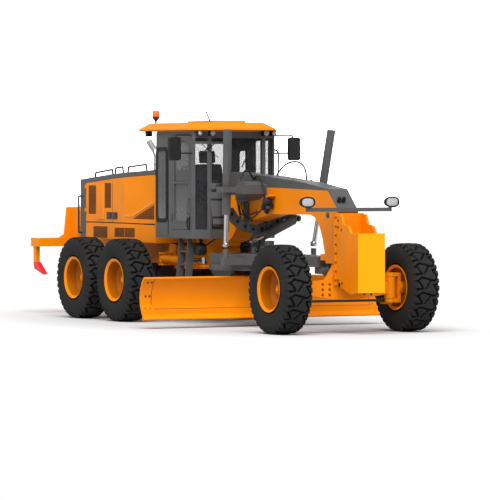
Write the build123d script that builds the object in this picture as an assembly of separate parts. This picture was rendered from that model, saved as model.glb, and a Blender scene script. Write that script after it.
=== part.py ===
from build123d import *
import math
import os

# Motor grader, full size, in millimetres.
# While it is drawn, x runs forward from the middle between the tandem wheels,
# y runs to the driver's left and z runs up from the ground.
# On export everything moves back so that the origin is under the middle of the length.

# wheels
TYRE_RADIUS = 672
TYRE_WIDTH = 445
TREAD_HALF = 200
GROOVE_FLOOR = 640
TYRE_SIDES = 20
LUG_PITCHES = 14
LUG_LENGTH = 165
LUG_SLANT = 24
LUG_MIDDLE_GAP = 12
LUG_OVERHANG = 12
BEAD_RADIUS = 318
FLANGE_RADIUS = 345
RIM_WALL = 14
DISC_OFFSET = 70
DISC_THICKNESS = 18
HUB_RADIUS = 150
FRONT_COLLAR = 60
TRACK = 2190
TANDEM_SPACING = 1540
WHEELBASE = 6070
WHEEL_Y = TRACK / 2
REAR_HALF = TANDEM_SPACING / 2
HUB_GAP = 0.5

# joint in the middle of the machine
ARTICULATION_X = 1320
HITCH_LOW = 850
HITCH_HIGH = 1210
HITCH_PLATE = 45
HITCH_RADIUS = 150
HITCH_PIN = 55
HITCH_GAP = 3
PIN_GAP = 0.5

# rear frame
RAIL_Y = 330
RAIL_THICK = 40
RAIL_LOW = 930
RAIL_HIGH = 1230
RAIL_REAR = -1640
RAIL_FRONT = 1080

# tandem cases and rear axle
CASE_INSET = 260
CASE_WIDTH = 195
CASE_OUTER = WHEEL_Y - CASE_INSET
CASE_INNER = CASE_OUTER - CASE_WIDTH
CASE_RADIUS = 190
AXLE_RADIUS = 150

# hood
HOOD_HALF = 750
HOOD_NOSE_HALF = 600
HOOD_REAR = -1640
HOOD_COWL = 210
HOOD_FOLD = 50
HOOD_FRONT = 880
HOOD_SPLIT = -400
HOOD_WAIST = 1575
HOOD_BASE_REAR = 1330
HOOD_BASE_FRONT = 1262
HOOD_WALL = 22
HOOD_TOP_REAR = 2290
HOOD_TOP_MID = 2385
HOOD_TOP_FRONT = 2455
HOOD_TOP_DEPTH = 75
PANEL_GAP = 6
ROOF_RAIL_Y = 615
RAIL_TUBE = 12
LOOP_OUT = 62
LOUVRE_DEPTH = 10
SLAT_PITCH = 38
GRILLE_HALF = 560
GRILLE_LOW = 1430
GRILLE_HIGH = 2180
HOOD_HINGE_X = HOOD_REAR + HOOD_COWL + PANEL_GAP / 2
HOOD_HINGE_LEVELS = (1690, 2080)
KNUCKLE_RADIUS = 10
KNUCKLE_HEIGHT = 60
KNUCKLE_OUT = 10.3

# cab
CAB_REAR = 1190
CAB_FRONT = 2480
CAB_NOSE = 2590
CAB_HALF = 740
CAB_FLOOR = 1490
FLOOR_PLATE = 30
CAB_SKIRT = 1362
CAB_TOP = 3060
CAB_POST = 70
GLASS = 8
SIDE_PANE_REAR = 1250
SIDE_PANE_FRONT = 1560
SIDE_PANE_LOW = 1660
SIDE_PANE_HIGH = 2770
DOOR_REAR = 1760
DOOR_THICK = 45
DOOR_LOW = 1500
DOOR_HIGH = 3010
DOOR_GAP = 7
DOOR_HINGE_X = DOOR_REAR + DOOR_GAP / 2
DOOR_HINGE_LEVELS = (1640, 2760)
ROOF_REAR = 600
ROOF_FRONT = 2880
ROOF_HALF = 800
ROOF_LIP = 3085
ROOF_CROWN = 3210

# main beam over the blade
NECK_HALF = 170
NECK_TOP_REAR = 2362
NECK_TOP_FRONT = 2170
NECK_UNDER = 1773
COLUMN_REAR = 5800
COLUMN_FRONT = 6200
COLUMN_LOW = 1045
COVER_DEPTH = 180
PUSH_FRONT = 6910
PUSH_HALF = 230

# front axle and steering
AXLE_X = WHEELBASE
KINGPIN_INSET = 295
KINGPIN_Y = WHEEL_Y - KINGPIN_INSET
KINGPIN_RADIUS = 40
YOKE_HALF = 215
STEER_ARM = 230

# drawbar, circle and blade
BALL_X = 5610
BALL_Z = 930
BALL_RADIUS = 75
BALL_SEAT = 1085
SOCKET_GAP = 0.5
CIRCLE_GAP = 0.5
SLIDE_GAP = 0.3
CIRCLE_X = 3150
CIRCLE_RADIUS = 700
CIRCLE_BORE = 590
CIRCLE_LOW = 880
DRIVE_X = 3680
CIRCLE_HIGH = 975
BLADE_LENGTH = 4250
BLADE_BACK = 3385
BLADE_EDGE_X = 3490
BLADE_LOW = 130
BLADE_DEEP_Z = 486
BLADE_THICK = 24
TIP_X = 3290
TIP_Z = 560
CARRIER_REACH = 72
RAIL_HALF = 1350

# cylinders
LIFT_YOKE = (3860, 848, 2153)
LIFT_EYE = (3700, 780, 1262)
LIFT_LENGTH = 943
LIFT_BARREL = 66
TRUNNION = 30
ROD_RADIUS = 34
ROD_GAP = 0.5
ARTIC_REAR = (930, 500, 1010)
ARTIC_FRONT = (2290, 430, 1010)
CENTRE_BASE = (3405, 640, 1690)
CENTRE_EYE = (3405, -130, 1330)

# ripper
RIPPER_BEAM_X = -3120
RIPPER_BEAM_HALF = 960
RIPPER_BEAM_LOW = 1140
RIPPER_BEAM_HIGH = 1285
RIPPER_TOWER_TOP = 1810
SHANK_FOOT = 870
LINK_X = -1800
LINK_LOW = 930
LINK_HIGH = 1330
LINK_RUN = 760
LINK_RISE = 250
LINK_Y = 225
LINK_HALF = 22
LINK_PIN = 26
CHEEK_Y = 250
RIPPER_BASE = (-1790, 0, 1480)
RIPPER_ROD_EYE = (-2640, 0, 1230)

REAR_X = RIPPER_BEAM_X - 60
ORIGIN_X = (REAR_X + PUSH_FRONT) / 2


def block(x0, x1, y0, y1, z0, z1):
    size = Box(x1 - x0, y1 - y0, z1 - z0)
    return Pos((x0 + x1) / 2, (y0 + y1) / 2, (z0 + z1) / 2) * size


def side_shape(points, y0, y1):
    plane = Plane(origin=(0, y0, 0), x_dir=(1, 0, 0), z_dir=(0, -1, 0))
    return extrude(plane * Polygon(*points, align=None), amount=y1 - y0, dir=(0, 1, 0))


def plan_shape(points, z0, z1):
    return extrude(Plane.XY.offset(z0) * Polygon(*points, align=None), amount=z1 - z0, dir=(0, 0, 1))


def cross_shape(points, x0, x1):
    plane = Plane(origin=(x0, 0, 0), x_dir=(0, 1, 0), z_dir=(1, 0, 0))
    return extrude(plane * Polygon(*points, align=None), amount=x1 - x0, dir=(1, 0, 0))


def rod(start, end, radius):
    start = Vector(*start)
    end = Vector(*end)
    plane = Plane(origin=start, z_dir=end - start)
    return extrude(plane * Circle(radius), amount=(end - start).length)


def tube_path(points, radii, radius):
    path = FilletPolyline(*points, radius=radii)
    return sweep(Plane(origin=path @ 0, z_dir=path % 0) * Circle(radius), path=path)


def across(centre, radius, width):
    return Pos(*centre) * Rot(90, 0, 0) * Cylinder(radius, width)


def upright(centre, radius, height):
    return Pos(*centre) * Cylinder(radius, height)


def mirrored(shape):
    return mirror(shape, about=Plane.XZ)


def both(shape):
    return shape + mirrored(shape)


def at_wheel(shape, x, side):
    return Pos(x, side * WHEEL_Y, TYRE_RADIUS) * (shape if side > 0 else mirrored(shape))


# Ring of flat facets between stations of radius and y, inside or outside a round of the first radius.
def faceted_ring(stations):
    rings = []
    for radius, y in stations:
        plane = Plane(origin=(0, y, 0), x_dir=(1, 0, 0), z_dir=(0, 1, 0))
        rings.append((plane * RegularPolygon(radius, TYRE_SIDES)).face())
    return loft(rings, ruled=True)


# One lug as a slanted block whose corners reach the tyre's full radius, standing over the angle given.
def lug(angle, hand):
    half = LUG_LENGTH / 2
    near = LUG_MIDDLE_GAP
    far = TREAD_HALF + LUG_OVERHANG
    corner = half + LUG_SLANT
    top = math.sqrt(TYRE_RADIUS ** 2 - corner ** 2)
    outline = [
        (-half + LUG_SLANT, hand * near),
        (half + LUG_SLANT, hand * near),
        (half - LUG_SLANT, hand * far),
        (-half - LUG_SLANT, hand * far),
    ]
    pad = plan_shape(outline, GROOVE_FLOOR - 30, top)
    return Rot(0, angle, 0) * pad


# Tyre: a ring of flat facets up to the groove floor, with two rows of slanted lugs, staggered across the middle.
def tyre():
    half = TYRE_WIDTH / 2
    flat = math.cos(math.pi / TYRE_SIDES)
    outside = [(BEAD_RADIUS, -half + 48), (FLANGE_RADIUS + 120, -half), (GROOVE_FLOOR, -TREAD_HALF)]
    stations = [(radius / flat, y) for radius, y in outside]
    stations += [(radius, -y) for radius, y in stations[::-1]]
    ring = faceted_ring(stations)
    bore = [(BEAD_RADIUS / flat, -half + 40), (BEAD_RADIUS / flat, half - 40)]
    ring -= faceted_ring(bore)
    corner = LUG_LENGTH / 2 + LUG_SLANT
    lean = math.degrees(math.asin(corner / TYRE_RADIUS))
    pitch = 360 / LUG_PITCHES
    lugs = []
    for hand, start in ((1, 180 + lean), (-1, 180 - lean)):
        for number in range(LUG_PITCHES):
            lugs.append(lug(start + number * pitch, hand))
    return ring + lugs


# The rim is a deep dish: a barrel with turned-out flanges and a disc set inboard.
def rim():
    half = TYRE_WIDTH / 2
    edge = half - 28
    inner = BEAD_RADIUS - RIM_WALL
    disc = -DISC_OFFSET
    outline = [
        (FLANGE_RADIUS, -edge - 14),
        (FLANGE_RADIUS, -edge),
        (BEAD_RADIUS - 0.5, -edge + 16),
        (BEAD_RADIUS - 0.5, edge - 16),
        (FLANGE_RADIUS, edge),
        (FLANGE_RADIUS, edge + 14),
        (inner, edge - 10),
        (inner, disc + DISC_THICKNESS + 60),
        (inner - 60, disc + DISC_THICKNESS),
        (HUB_RADIUS - 40, disc + DISC_THICKNESS),
        (HUB_RADIUS - 40, disc),
        (inner - 60, disc),
        (inner, disc - 50),
        (inner, -edge + 10),
    ]
    return revolve(Plane.XY * Polygon(*outline, align=None), axis=Axis.Y, revolution_arc=360)


# Hub and drive housing that close the middle of each rim and turn with it.
def hub(reach):
    disc = -DISC_OFFSET
    flange = across((0, disc + DISC_THICKNESS + 8, 0), HUB_RADIUS, 16)
    cap = across((0, disc + DISC_THICKNESS + 56, 0), 78, 80)
    collar = across((0, disc - reach / 2, 0), HUB_RADIUS - 42, reach)
    core = across((0, disc + DISC_THICKNESS / 2, 0), HUB_RADIUS - 40, DISC_THICKNESS)
    return flange + cap + collar + core


def rear_wheel_rim():
    reach = WHEEL_Y - DISC_OFFSET - CASE_OUTER - HUB_GAP
    return rim() + hub(reach)


def front_wheel_rim():
    return rim() + hub(FRONT_COLLAR)


# Main rails, cross members, hitch plates with their pin, and the ripper's fixed bracket.
def rear_frame():
    rail = [
        (RAIL_REAR, RAIL_LOW + 60),
        (-420, RAIL_LOW + 60),
        (-300, RAIL_LOW),
        (600, RAIL_LOW),
        (RAIL_FRONT, RAIL_LOW),
        (RAIL_FRONT, RAIL_HIGH),
        (HOOD_FRONT - 60, HOOD_BASE_FRONT - 4),
        (RAIL_REAR, HOOD_BASE_REAR - 4),
    ]
    frame = both(side_shape(rail, RAIL_Y - RAIL_THICK, RAIL_Y))
    for x, low, high in ((-1560, 1000, 1300), (-700, 1000, 1120), (420, 960, 1100), (RAIL_FRONT - 30, RAIL_LOW, RAIL_HIGH)):
        frame += block(x - 30, x + 30, -RAIL_Y + 5, RAIL_Y - 5, low, high)
    tongue = [
        (RAIL_FRONT - 60, RAIL_Y),
        (RAIL_FRONT - 60, -RAIL_Y),
        (ARTICULATION_X, -HITCH_RADIUS),
        (ARTICULATION_X, HITCH_RADIUS),
    ]
    for low in (HITCH_LOW, HITCH_HIGH - HITCH_PLATE):
        plate = plan_shape(tongue, low, low + HITCH_PLATE)
        plate += upright((ARTICULATION_X, 0, low + HITCH_PLATE / 2), HITCH_RADIUS, HITCH_PLATE)
        frame += plate
    frame += block(RAIL_FRONT - 60, RAIL_FRONT, -RAIL_Y, RAIL_Y, HITCH_LOW, HITCH_HIGH)
    middle = (HITCH_LOW + HITCH_HIGH) / 2
    frame += upright((ARTICULATION_X, 0, middle), HITCH_PIN, HITCH_HIGH - HITCH_LOW)
    x, y, z = ARTIC_REAR
    for level in (z - 90, z + 90):
        ear = plan_shape([(x - 60, RAIL_Y - 10), (x + 70, RAIL_Y - 10), (x + 50, y + 50), (x - 50, y + 50)], level - 15, level + 15)
        frame += both(ear)
    frame += both(upright((x, y, z), 24, 180))
    return frame


def rail_top(x):
    share = (x - RAIL_REAR) / (HOOD_FRONT - 60 - RAIL_REAR)
    return HOOD_BASE_REAR - 4 + share * (HOOD_BASE_FRONT - HOOD_BASE_REAR)


def engine_block():
    body = block(-760, 540, -280, 280, 1290, 1980)
    rail_face = RAIL_Y - RAIL_THICK
    for x in (-600, 400):
        body += block(x - 50, x + 50, -rail_face, rail_face, 1150, 1295)
    return body + block(-1000, -760, -250, 250, 1350, 1900)


def hood_plan(inset, x0, x1):
    half = HOOD_HALF - inset
    nose = HOOD_NOSE_HALF - inset
    slope = (half - nose) / (HOOD_FRONT - HOOD_FOLD)
    front = nose + slope * (HOOD_FRONT - x1)
    if x1 <= HOOD_FOLD:
        return [(x0, -half), (x1, -half), (x1, half), (x0, half)]
    return [(x0, -half), (HOOD_FOLD, -half), (x1, -front), (x1, front), (HOOD_FOLD, half), (x0, half)]


def hood_roofline(x):
    if x < HOOD_SPLIT:
        part = (x - HOOD_REAR) / (HOOD_SPLIT - HOOD_REAR)
        return HOOD_TOP_REAR + part * (HOOD_TOP_MID - HOOD_TOP_REAR)
    part = (x - HOOD_SPLIT) / (HOOD_FRONT - HOOD_SPLIT)
    return HOOD_TOP_MID + part * (HOOD_TOP_FRONT - HOOD_TOP_MID)


def hood_band(drop_top, drop_low, x0, x1):
    return [
        (x0, hood_roofline(x0) - drop_low),
        (x0, hood_roofline(x0) - drop_top),
        (HOOD_SPLIT, HOOD_TOP_MID - drop_top),
        (x1, hood_roofline(x1) - drop_top),
        (x1, hood_roofline(x1) - drop_low),
        (HOOD_SPLIT, HOOD_TOP_MID - drop_low),
    ]


# Grey cowl: wraps round the radiator at the rear and runs forward as the top of the hood.
def hood_cowl():
    high = HOOD_TOP_FRONT + 10
    top = plan_shape(hood_plan(0, HOOD_REAR, HOOD_FRONT), HOOD_BASE_REAR, high)
    top = top & side_shape(hood_band(0, HOOD_TOP_DEPTH, HOOD_REAR, HOOD_FRONT), -HOOD_HALF, HOOD_HALF)
    hollow = plan_shape(hood_plan(HOOD_WALL + 10, HOOD_REAR + HOOD_WALL, HOOD_FRONT - HOOD_WALL), HOOD_BASE_REAR, high)
    hollow = hollow & side_shape(
        hood_band(HOOD_WALL, HOOD_TOP_DEPTH + 5, HOOD_REAR + HOOD_WALL, HOOD_FRONT - HOOD_WALL), -HOOD_HALF, HOOD_HALF)
    top = top - hollow
    rear = block(HOOD_REAR, HOOD_REAR + HOOD_COWL, -HOOD_HALF, HOOD_HALF, HOOD_BASE_REAR - 4, HOOD_TOP_REAR - 30)
    rear = rear - block(
        HOOD_REAR + 60, HOOD_REAR + HOOD_COWL + 1, -HOOD_HALF + 40, HOOD_HALF - 40, HOOD_BASE_REAR - 5, HOOD_TOP_REAR)
    rear = rear - block(HOOD_REAR - 1, HOOD_REAR + 70, -GRILLE_HALF, GRILLE_HALF, GRILLE_LOW, GRILLE_HIGH)
    shell = top + rear
    shell += both(knuckles(HOOD_HINGE_X, HOOD_HALF + KNUCKLE_OUT, HOOD_HINGE_LEVELS, 0, 30))
    return shell + both(roof_rails() + side_loop()) + rear_grille()


# Straight tubes from point to point, each run on past its corners by half its radius.
def bar_path(points, radius):
    bars = Part()
    for start, end in zip(points[:-1], points[1:]):
        start = Vector(*start)
        end = Vector(*end)
        past = (end - start).normalized() * (radius / 2)
        bars += rod(start - past, end + past, radius)
    return bars


# Low hand rails on top of the hood, each standing on its own two feet.
def roof_rails():
    rails = Part()
    y = ROOF_RAIL_Y
    for x0, x1, height in ((-1350, -665, 90), (-580, -270, 110), (-100, 600, 100)):
        z0 = hood_roofline(x0)
        z1 = hood_roofline(x1)
        points = [(x0, y, z0 - 15), (x0 + 25, y, z0 + height), (x1 - 25, y, z1 + height), (x1, y, z1 - 15)]
        rails += bar_path(points, RAIL_TUBE)
    return rails


# Tall hand loop that stands out from the cowl's side beside the rear corner.
def side_loop():
    x = HOOD_REAR + 60
    out = HOOD_HALF + LOOP_OUT
    points = [(x, HOOD_HALF - 10, 1400), (x, out, 1400), (x, out, 2010), (x, HOOD_HALF - 10, 2010)]
    return bar_path(points, RAIL_TUBE)


# Sloping slats across the opening at the rear, in front of the radiator.
def rear_grille():
    slats = Part()
    for number in range(1, 12):
        z = GRILLE_LOW + number * (GRILLE_HIGH - GRILLE_LOW) / 12
        slat = [(HOOD_REAR + 8, z - 14), (HOOD_REAR + 14, z - 14), (HOOD_REAR + 54, z + 12), (HOOD_REAR + 48, z + 12)]
        slats += side_shape(slat, -GRILLE_HALF - 3, GRILLE_HALF + 3)
    for y in (-GRILLE_HALF / 3, GRILLE_HALF / 3):
        slats += block(HOOD_REAR + 20, HOOD_REAR + 40, y - 10, y + 10, GRILLE_LOW - 3, GRILLE_HIGH + 3)
    return slats


# Louvred field on the flat flank: a shallow pocket to cut, and the slats that stand in it.
def louvre(x0, x1, low, high):
    pocket = block(x0, x1, HOOD_HALF - LOUVRE_DEPTH, HOOD_HALF + 5, low, high)
    slats = Part()
    count = round((high - low) / SLAT_PITCH)
    for number in range(count):
        z = low + (number + 1) * (high - low) / count
        slat = [
            (HOOD_HALF - LOUVRE_DEPTH - 2, z),
            (HOOD_HALF - 1, z - 26),
            (HOOD_HALF - LOUVRE_DEPTH - 2, z - 26),
        ]
        slats += cross_shape(slat, x0 - 1, x1 + 1)
    return pocket, slats


# Prism on the flank that tapers towards the cab, from its outline in x and z, between two heights over the skin.
def flank_shape(points, low, high):
    slope = (HOOD_HALF - HOOD_NOSE_HALF) / (HOOD_FRONT - HOOD_FOLD)
    run = math.sqrt(1 + slope ** 2)
    origin = (HOOD_FOLD + low * slope / run, HOOD_HALF + low / run, 0)
    plane = Plane(origin=origin, x_dir=(-1, slope, 0), z_dir=(slope, 1, 0))
    flat = [((HOOD_FOLD - x) * run, z) for x, z in points]
    return extrude(plane * Polygon(*flat, align=None), amount=high - low, dir=(slope / run, 1 / run, 0))


# Three-cornered louvre beside the cab, with its slats.
def flank_louvre():
    low_rear = (259, 1650)
    low_front = (850, 1645)
    high_front = (850, 1890)
    pocket = flank_shape([low_rear, low_front, high_front], -LOUVRE_DEPTH, 5)
    slats = Part()
    for number in range(1, 7):
        z = low_front[1] + number * 36
        share = (z - low_rear[1]) / (high_front[1] - low_rear[1])
        x = low_rear[0] + share * (high_front[0] - low_rear[0]) - 30
        slats += flank_shape([(x, z - 8), (low_front[0] + 2, z - 8), (low_front[0] + 2, z + 2), (x + 24, z + 2)],
                             -LOUVRE_DEPTH - 1, -1)
    return pocket, slats


# Orange lower side panels, the front wall of the engine bay and the posts between the doors.
def hood_panels():
    x0 = HOOD_REAR + HOOD_COWL + PANEL_GAP
    outer = plan_shape(hood_plan(0, x0, HOOD_FRONT), HOOD_BASE_FRONT, HOOD_WAIST - PANEL_GAP / 2)
    inner = plan_shape(hood_plan(HOOD_WALL, x0 - 10, HOOD_FRONT - HOOD_WALL), HOOD_BASE_FRONT - 1, HOOD_WAIST)
    lower = outer - inner
    under = [(x0 - 20, HOOD_BASE_FRONT - 10), (HOOD_FRONT + 20, HOOD_BASE_FRONT - 10), (HOOD_FRONT + 20, HOOD_BASE_FRONT), (x0 - 20, HOOD_BASE_REAR)]
    lower = lower - side_shape(under, -HOOD_HALF - 10, HOOD_HALF + 10)
    front_half = HOOD_NOSE_HALF - HOOD_WALL - 14
    roof_z = hood_roofline(HOOD_FRONT - HOOD_WALL) - HOOD_TOP_DEPTH
    wall = block(HOOD_FRONT - HOOD_WALL, HOOD_FRONT, -front_half, front_half, HOOD_WAIST - 60, roof_z)
    post_half = HOOD_HALF - HOOD_WALL - PANEL_GAP
    posts = block(HOOD_SPLIT - 40, HOOD_SPLIT + 40, post_half - 40, post_half, HOOD_WAIST - 60, HOOD_TOP_MID - HOOD_TOP_DEPTH - 8)
    posts += block(HOOD_SPLIT - 40, HOOD_SPLIT + 40, post_half - 10, HOOD_HALF - 10, HOOD_WAIST - 60, HOOD_WAIST - 10)
    ledge = side_shape([
        (-1400, rail_top(-1400)), (300, rail_top(300)), (300, rail_top(300) + 24), (-1400, rail_top(-1400) + 24)],
        RAIL_Y - RAIL_THICK, HOOD_HALF - 10)
    fixed = hood_side(HOOD_SPLIT + PANEL_GAP / 2, HOOD_FRONT)
    step = block(HOOD_SPLIT + 10, HOOD_FOLD, post_half - 10, HOOD_HALF - 8, HOOD_WAIST - 60, HOOD_WAIST + 60)
    body = lower + wall + both(posts + step + fixed) + both(ledge)
    for x0, x1, low, high in ((-1135, -598, 1325, 1513), (-324, 40, 1346, 1500)):
        pocket, slats = louvre(x0, x1, low, high)
        body -= both(pocket)
        body += both(slats)
    pocket, slats = flank_louvre()
    body -= both(pocket)
    body += both(slats)
    crease = flank_shape([(60, 1688), (263, 1680), (850, 1915), (850, 1945), (255, 1708), (60, 1714)], -2, 9)
    latch = block(-385, -225, HOOD_HALF - 4, HOOD_HALF + 14, 1645, 1750)
    return body + both(crease + latch)


# Upper side panel of the hood between two stations, seen from above.
def hood_side(x0, x1):
    gap = PANEL_GAP / 2
    skin = plan_shape(hood_plan(0, x0, x1), HOOD_WAIST, HOOD_TOP_FRONT)
    skin -= plan_shape(hood_plan(HOOD_WALL, x0 - 1, x1 + 1), HOOD_WAIST - 1, HOOD_TOP_FRONT + 1)
    band = [
        (x0 - 5, HOOD_WAIST + gap),
        (x0 - 5, hood_roofline(x0 - 5) - HOOD_TOP_DEPTH - PANEL_GAP),
        (x1 + 5, hood_roofline(x1 + 5) - HOOD_TOP_DEPTH - PANEL_GAP),
        (x1 + 5, HOOD_WAIST + gap),
    ]
    return skin & side_shape(band, 0, HOOD_HALF + 20)


# Hinge knuckles beside an upright gap: one half on the frame (share 0), the other on the leaf (share 1).
def knuckles(x, y, levels, share, reach):
    parts = Part()
    for z in levels:
        low = z + share * (KNUCKLE_HEIGHT + SLIDE_GAP)
        parts += upright((x, y, low + KNUCKLE_HEIGHT / 2), KNUCKLE_RADIUS, KNUCKLE_HEIGHT)
        x0, x1 = (x, x + reach) if share else (x - reach, x)
        parts += block(x0, x1, y - KNUCKLE_RADIUS - 4, y + 2, low, low + KNUCKLE_HEIGHT)
        if share:
            parts -= block(x - 30, x + 4, y - 40, y - KNUCKLE_RADIUS, low - 1, low + KNUCKLE_HEIGHT + 1)
        else:
            parts -= block(x - 4, x + 30, y - 40, y - KNUCKLE_RADIUS, low - 1, low + KNUCKLE_HEIGHT + 1)
    return parts


# Rear door of the hood, with two louvred fields, a raised rib between them and its latch.
def hood_door(side):
    leaf = hood_side(HOOD_REAR + HOOD_COWL + PANEL_GAP, HOOD_SPLIT - PANEL_GAP / 2)
    for x0, x1, low, high in ((-1319, -1034, 1715, 2247 - HOOD_TOP_DEPTH + 20), (-700, -460, 1821, 2233)):
        pocket, slats = louvre(x0, x1, low, high)
        leaf -= pocket
        leaf += slats
    rib = [(-994, HOOD_HALF - 3), (-970, HOOD_HALF + 20), (-751, HOOD_HALF + 20), (-727, HOOD_HALF - 3)]
    leaf += plan_shape(rib, 1635, 2230)
    leaf += block(-600, -430, HOOD_HALF - 4, HOOD_HALF + 14, 1645, 1750)
    leaf += knuckles(HOOD_HINGE_X, HOOD_HALF + KNUCKLE_OUT, HOOD_HINGE_LEVELS, 1, 30)
    return leaf if side > 0 else mirrored(leaf)


def exhaust_stack():
    base = hood_roofline(330)
    points = [(330, -300, base - 15), (330, -300, 2720), (60, -300, 2905)]
    stack = tube_path(points, 150, 55) + upright((330, -300, base), 85, 40)
    roof = [(200, hood_roofline(200)), (460, hood_roofline(460)), (460, base - 300), (200, base - 300)]
    return stack - side_shape(roof, -500, -100)


# Rear axle housing with the long tandem cases that carry the two wheels of each side.
def rear_axle():
    housing = across((0, 0, TYRE_RADIUS + 40), AXLE_RADIUS, 2 * CASE_INNER + 20)
    housing += Pos(0, 0, TYRE_RADIUS + 40) * Rot(0, 90, 0) * Cylinder(210, 380)
    housing += block(-130, 130, -RAIL_Y + 10, RAIL_Y - 10, TYRE_RADIUS + 130, RAIL_LOW)
    case = block(-REAR_HALF, REAR_HALF, CASE_INNER, CASE_OUTER, TYRE_RADIUS - CASE_RADIUS, TYRE_RADIUS + CASE_RADIUS)
    for x in (-REAR_HALF, REAR_HALF):
        case += across((x, (CASE_INNER + CASE_OUTER) / 2, TYRE_RADIUS), CASE_RADIUS, CASE_OUTER - CASE_INNER)
    return housing + both(case)


# Long beam of the front half: hitch knuckle, the part under the cab, the gooseneck and the nose column.
def front_frame():
    outline = [
        (ARTICULATION_X - 20, HITCH_LOW + HITCH_PLATE + HITCH_GAP),
        (2130, HITCH_LOW + HITCH_PLATE + HITCH_GAP),
        (2400, 1290),
        (2640, 1330),
        (2760, 1400),
        (2960, 1592),
        (4080, NECK_UNDER),
        (5330, NECK_UNDER),
        (5450, NECK_UNDER - 35),
        (5560, 1660),
        (5640, 1552),
        (5705, 1420),
        (5755, 1270),
        (COLUMN_REAR - 15, 1150),
        (COLUMN_REAR, COLUMN_LOW),
        (COLUMN_FRONT, COLUMN_LOW),
        (COLUMN_FRONT, 1840),
        (5870, NECK_TOP_FRONT - 25),
        (4070, NECK_TOP_REAR - COVER_DEPTH),
        (2760, NECK_TOP_REAR - COVER_DEPTH),
        (2640, 2000),
        (2640, CAB_FLOOR - FLOOR_PLATE - SLIDE_GAP),
        (ARTICULATION_X + 260, CAB_FLOOR - FLOOR_PLATE - SLIDE_GAP),
        (ARTICULATION_X + 160, HITCH_HIGH - HITCH_PLATE - HITCH_GAP),
        (ARTICULATION_X - 20, HITCH_HIGH - HITCH_PLATE - HITCH_GAP),
    ]
    beam = side_shape(outline, -NECK_HALF, NECK_HALF)
    middle = (HITCH_LOW + HITCH_HIGH) / 2
    tall = HITCH_HIGH - HITCH_LOW - 2 * HITCH_PLATE - 2 * HITCH_GAP
    knuckle = upright((ARTICULATION_X, 0, middle), HITCH_RADIUS - 20, tall)
    beam = beam - block(ARTICULATION_X - 30, ARTICULATION_X, -NECK_HALF - 1, NECK_HALF + 1, HITCH_LOW, HITCH_HIGH)
    beam = beam + knuckle
    beam -= upright((ARTICULATION_X, 0, middle), HITCH_PIN + PIN_GAP, 600)
    x, y, z = ARTIC_FRONT
    for level in (z - 90, z + 90):
        beam += both(plan_shape([(x - 90, NECK_HALF - 10), (x + 90, NECK_HALF - 10), (x + 45, y + 50), (x - 45, y + 50)], level - 15, level + 15))
    beam += block(x - 90, x + 90, -NECK_HALF, NECK_HALF, z - 90, 1200)
    for level in (z - 115, z + 115):
        beam += both(upright((x, y, level), 34, 30))
    beam += block(BALL_X - 60, COLUMN_REAR + 20, -120, 120, BALL_SEAT, BALL_SEAT + 95)
    return beam


# Grey cover along the top of the gooseneck, ending in a sloped nose over the lights.
def frame_cover():
    outline = [
        (2660, NECK_TOP_REAR - COVER_DEPTH + SLIDE_GAP),
        (2660, NECK_TOP_REAR + 60),
        (3300, NECK_TOP_REAR + 20),
        (3850, NECK_TOP_REAR),
        (5090, 2266),
        (5870, NECK_TOP_FRONT),
        (COLUMN_FRONT, 1850),
        (COLUMN_FRONT, 1840),
        (5870, NECK_TOP_FRONT - 25 + SLIDE_GAP),
        (4070, NECK_TOP_REAR - COVER_DEPTH + SLIDE_GAP),
    ]
    return side_shape(outline, -NECK_HALF, NECK_HALF)


# Counterweight block in front, with a bolted flange and two stepped side plates.
def push_block():
    flange = block(COLUMN_FRONT, COLUMN_FRONT + 40, -250, 250, 730, 1810)
    cheek = [
        (COLUMN_FRONT + 40, 745),
        (COLUMN_FRONT + 480, 600),
        (PUSH_FRONT - 40, 640),
        (PUSH_FRONT - 40, 1500),
        (COLUMN_FRONT + 480, 1510),
        (COLUMN_FRONT + 400, 1620),
        (COLUMN_FRONT + 250, 1640),
        (COLUMN_FRONT + 180, 1790),
        (COLUMN_FRONT + 40, 1800),
    ]
    cheeks = both(side_shape(cheek, PUSH_HALF - 40, PUSH_HALF))
    core = block(COLUMN_FRONT + 39, PUSH_FRONT - 40, -PUSH_HALF + 39, PUSH_HALF - 39, 760, 1440)
    plate = block(PUSH_FRONT - 41, PUSH_FRONT, -PUSH_HALF, PUSH_HALF, 625, 1513)
    return flange + cheeks + core + plate


def light_bar():
    bar = block(COLUMN_FRONT, COLUMN_FRONT + 50, -730, 730, 1832, 1892)
    face = Plane(origin=(COLUMN_FRONT + 55, 730, 1975), x_dir=(0, 1, 0), z_dir=(1, 0, 0)) * Ellipse(125, 82)
    back = Plane(origin=(COLUMN_FRONT - 35, 730, 1975), x_dir=(0, 1, 0), z_dir=(1, 0, 0)) * Ellipse(80, 50)
    shells = loft([face.face(), back.face()])
    stem = block(COLUMN_FRONT + 10, COLUMN_FRONT + 40, 700, 730, 1885, 1940)
    return bar + both(shells + stem)


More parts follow.
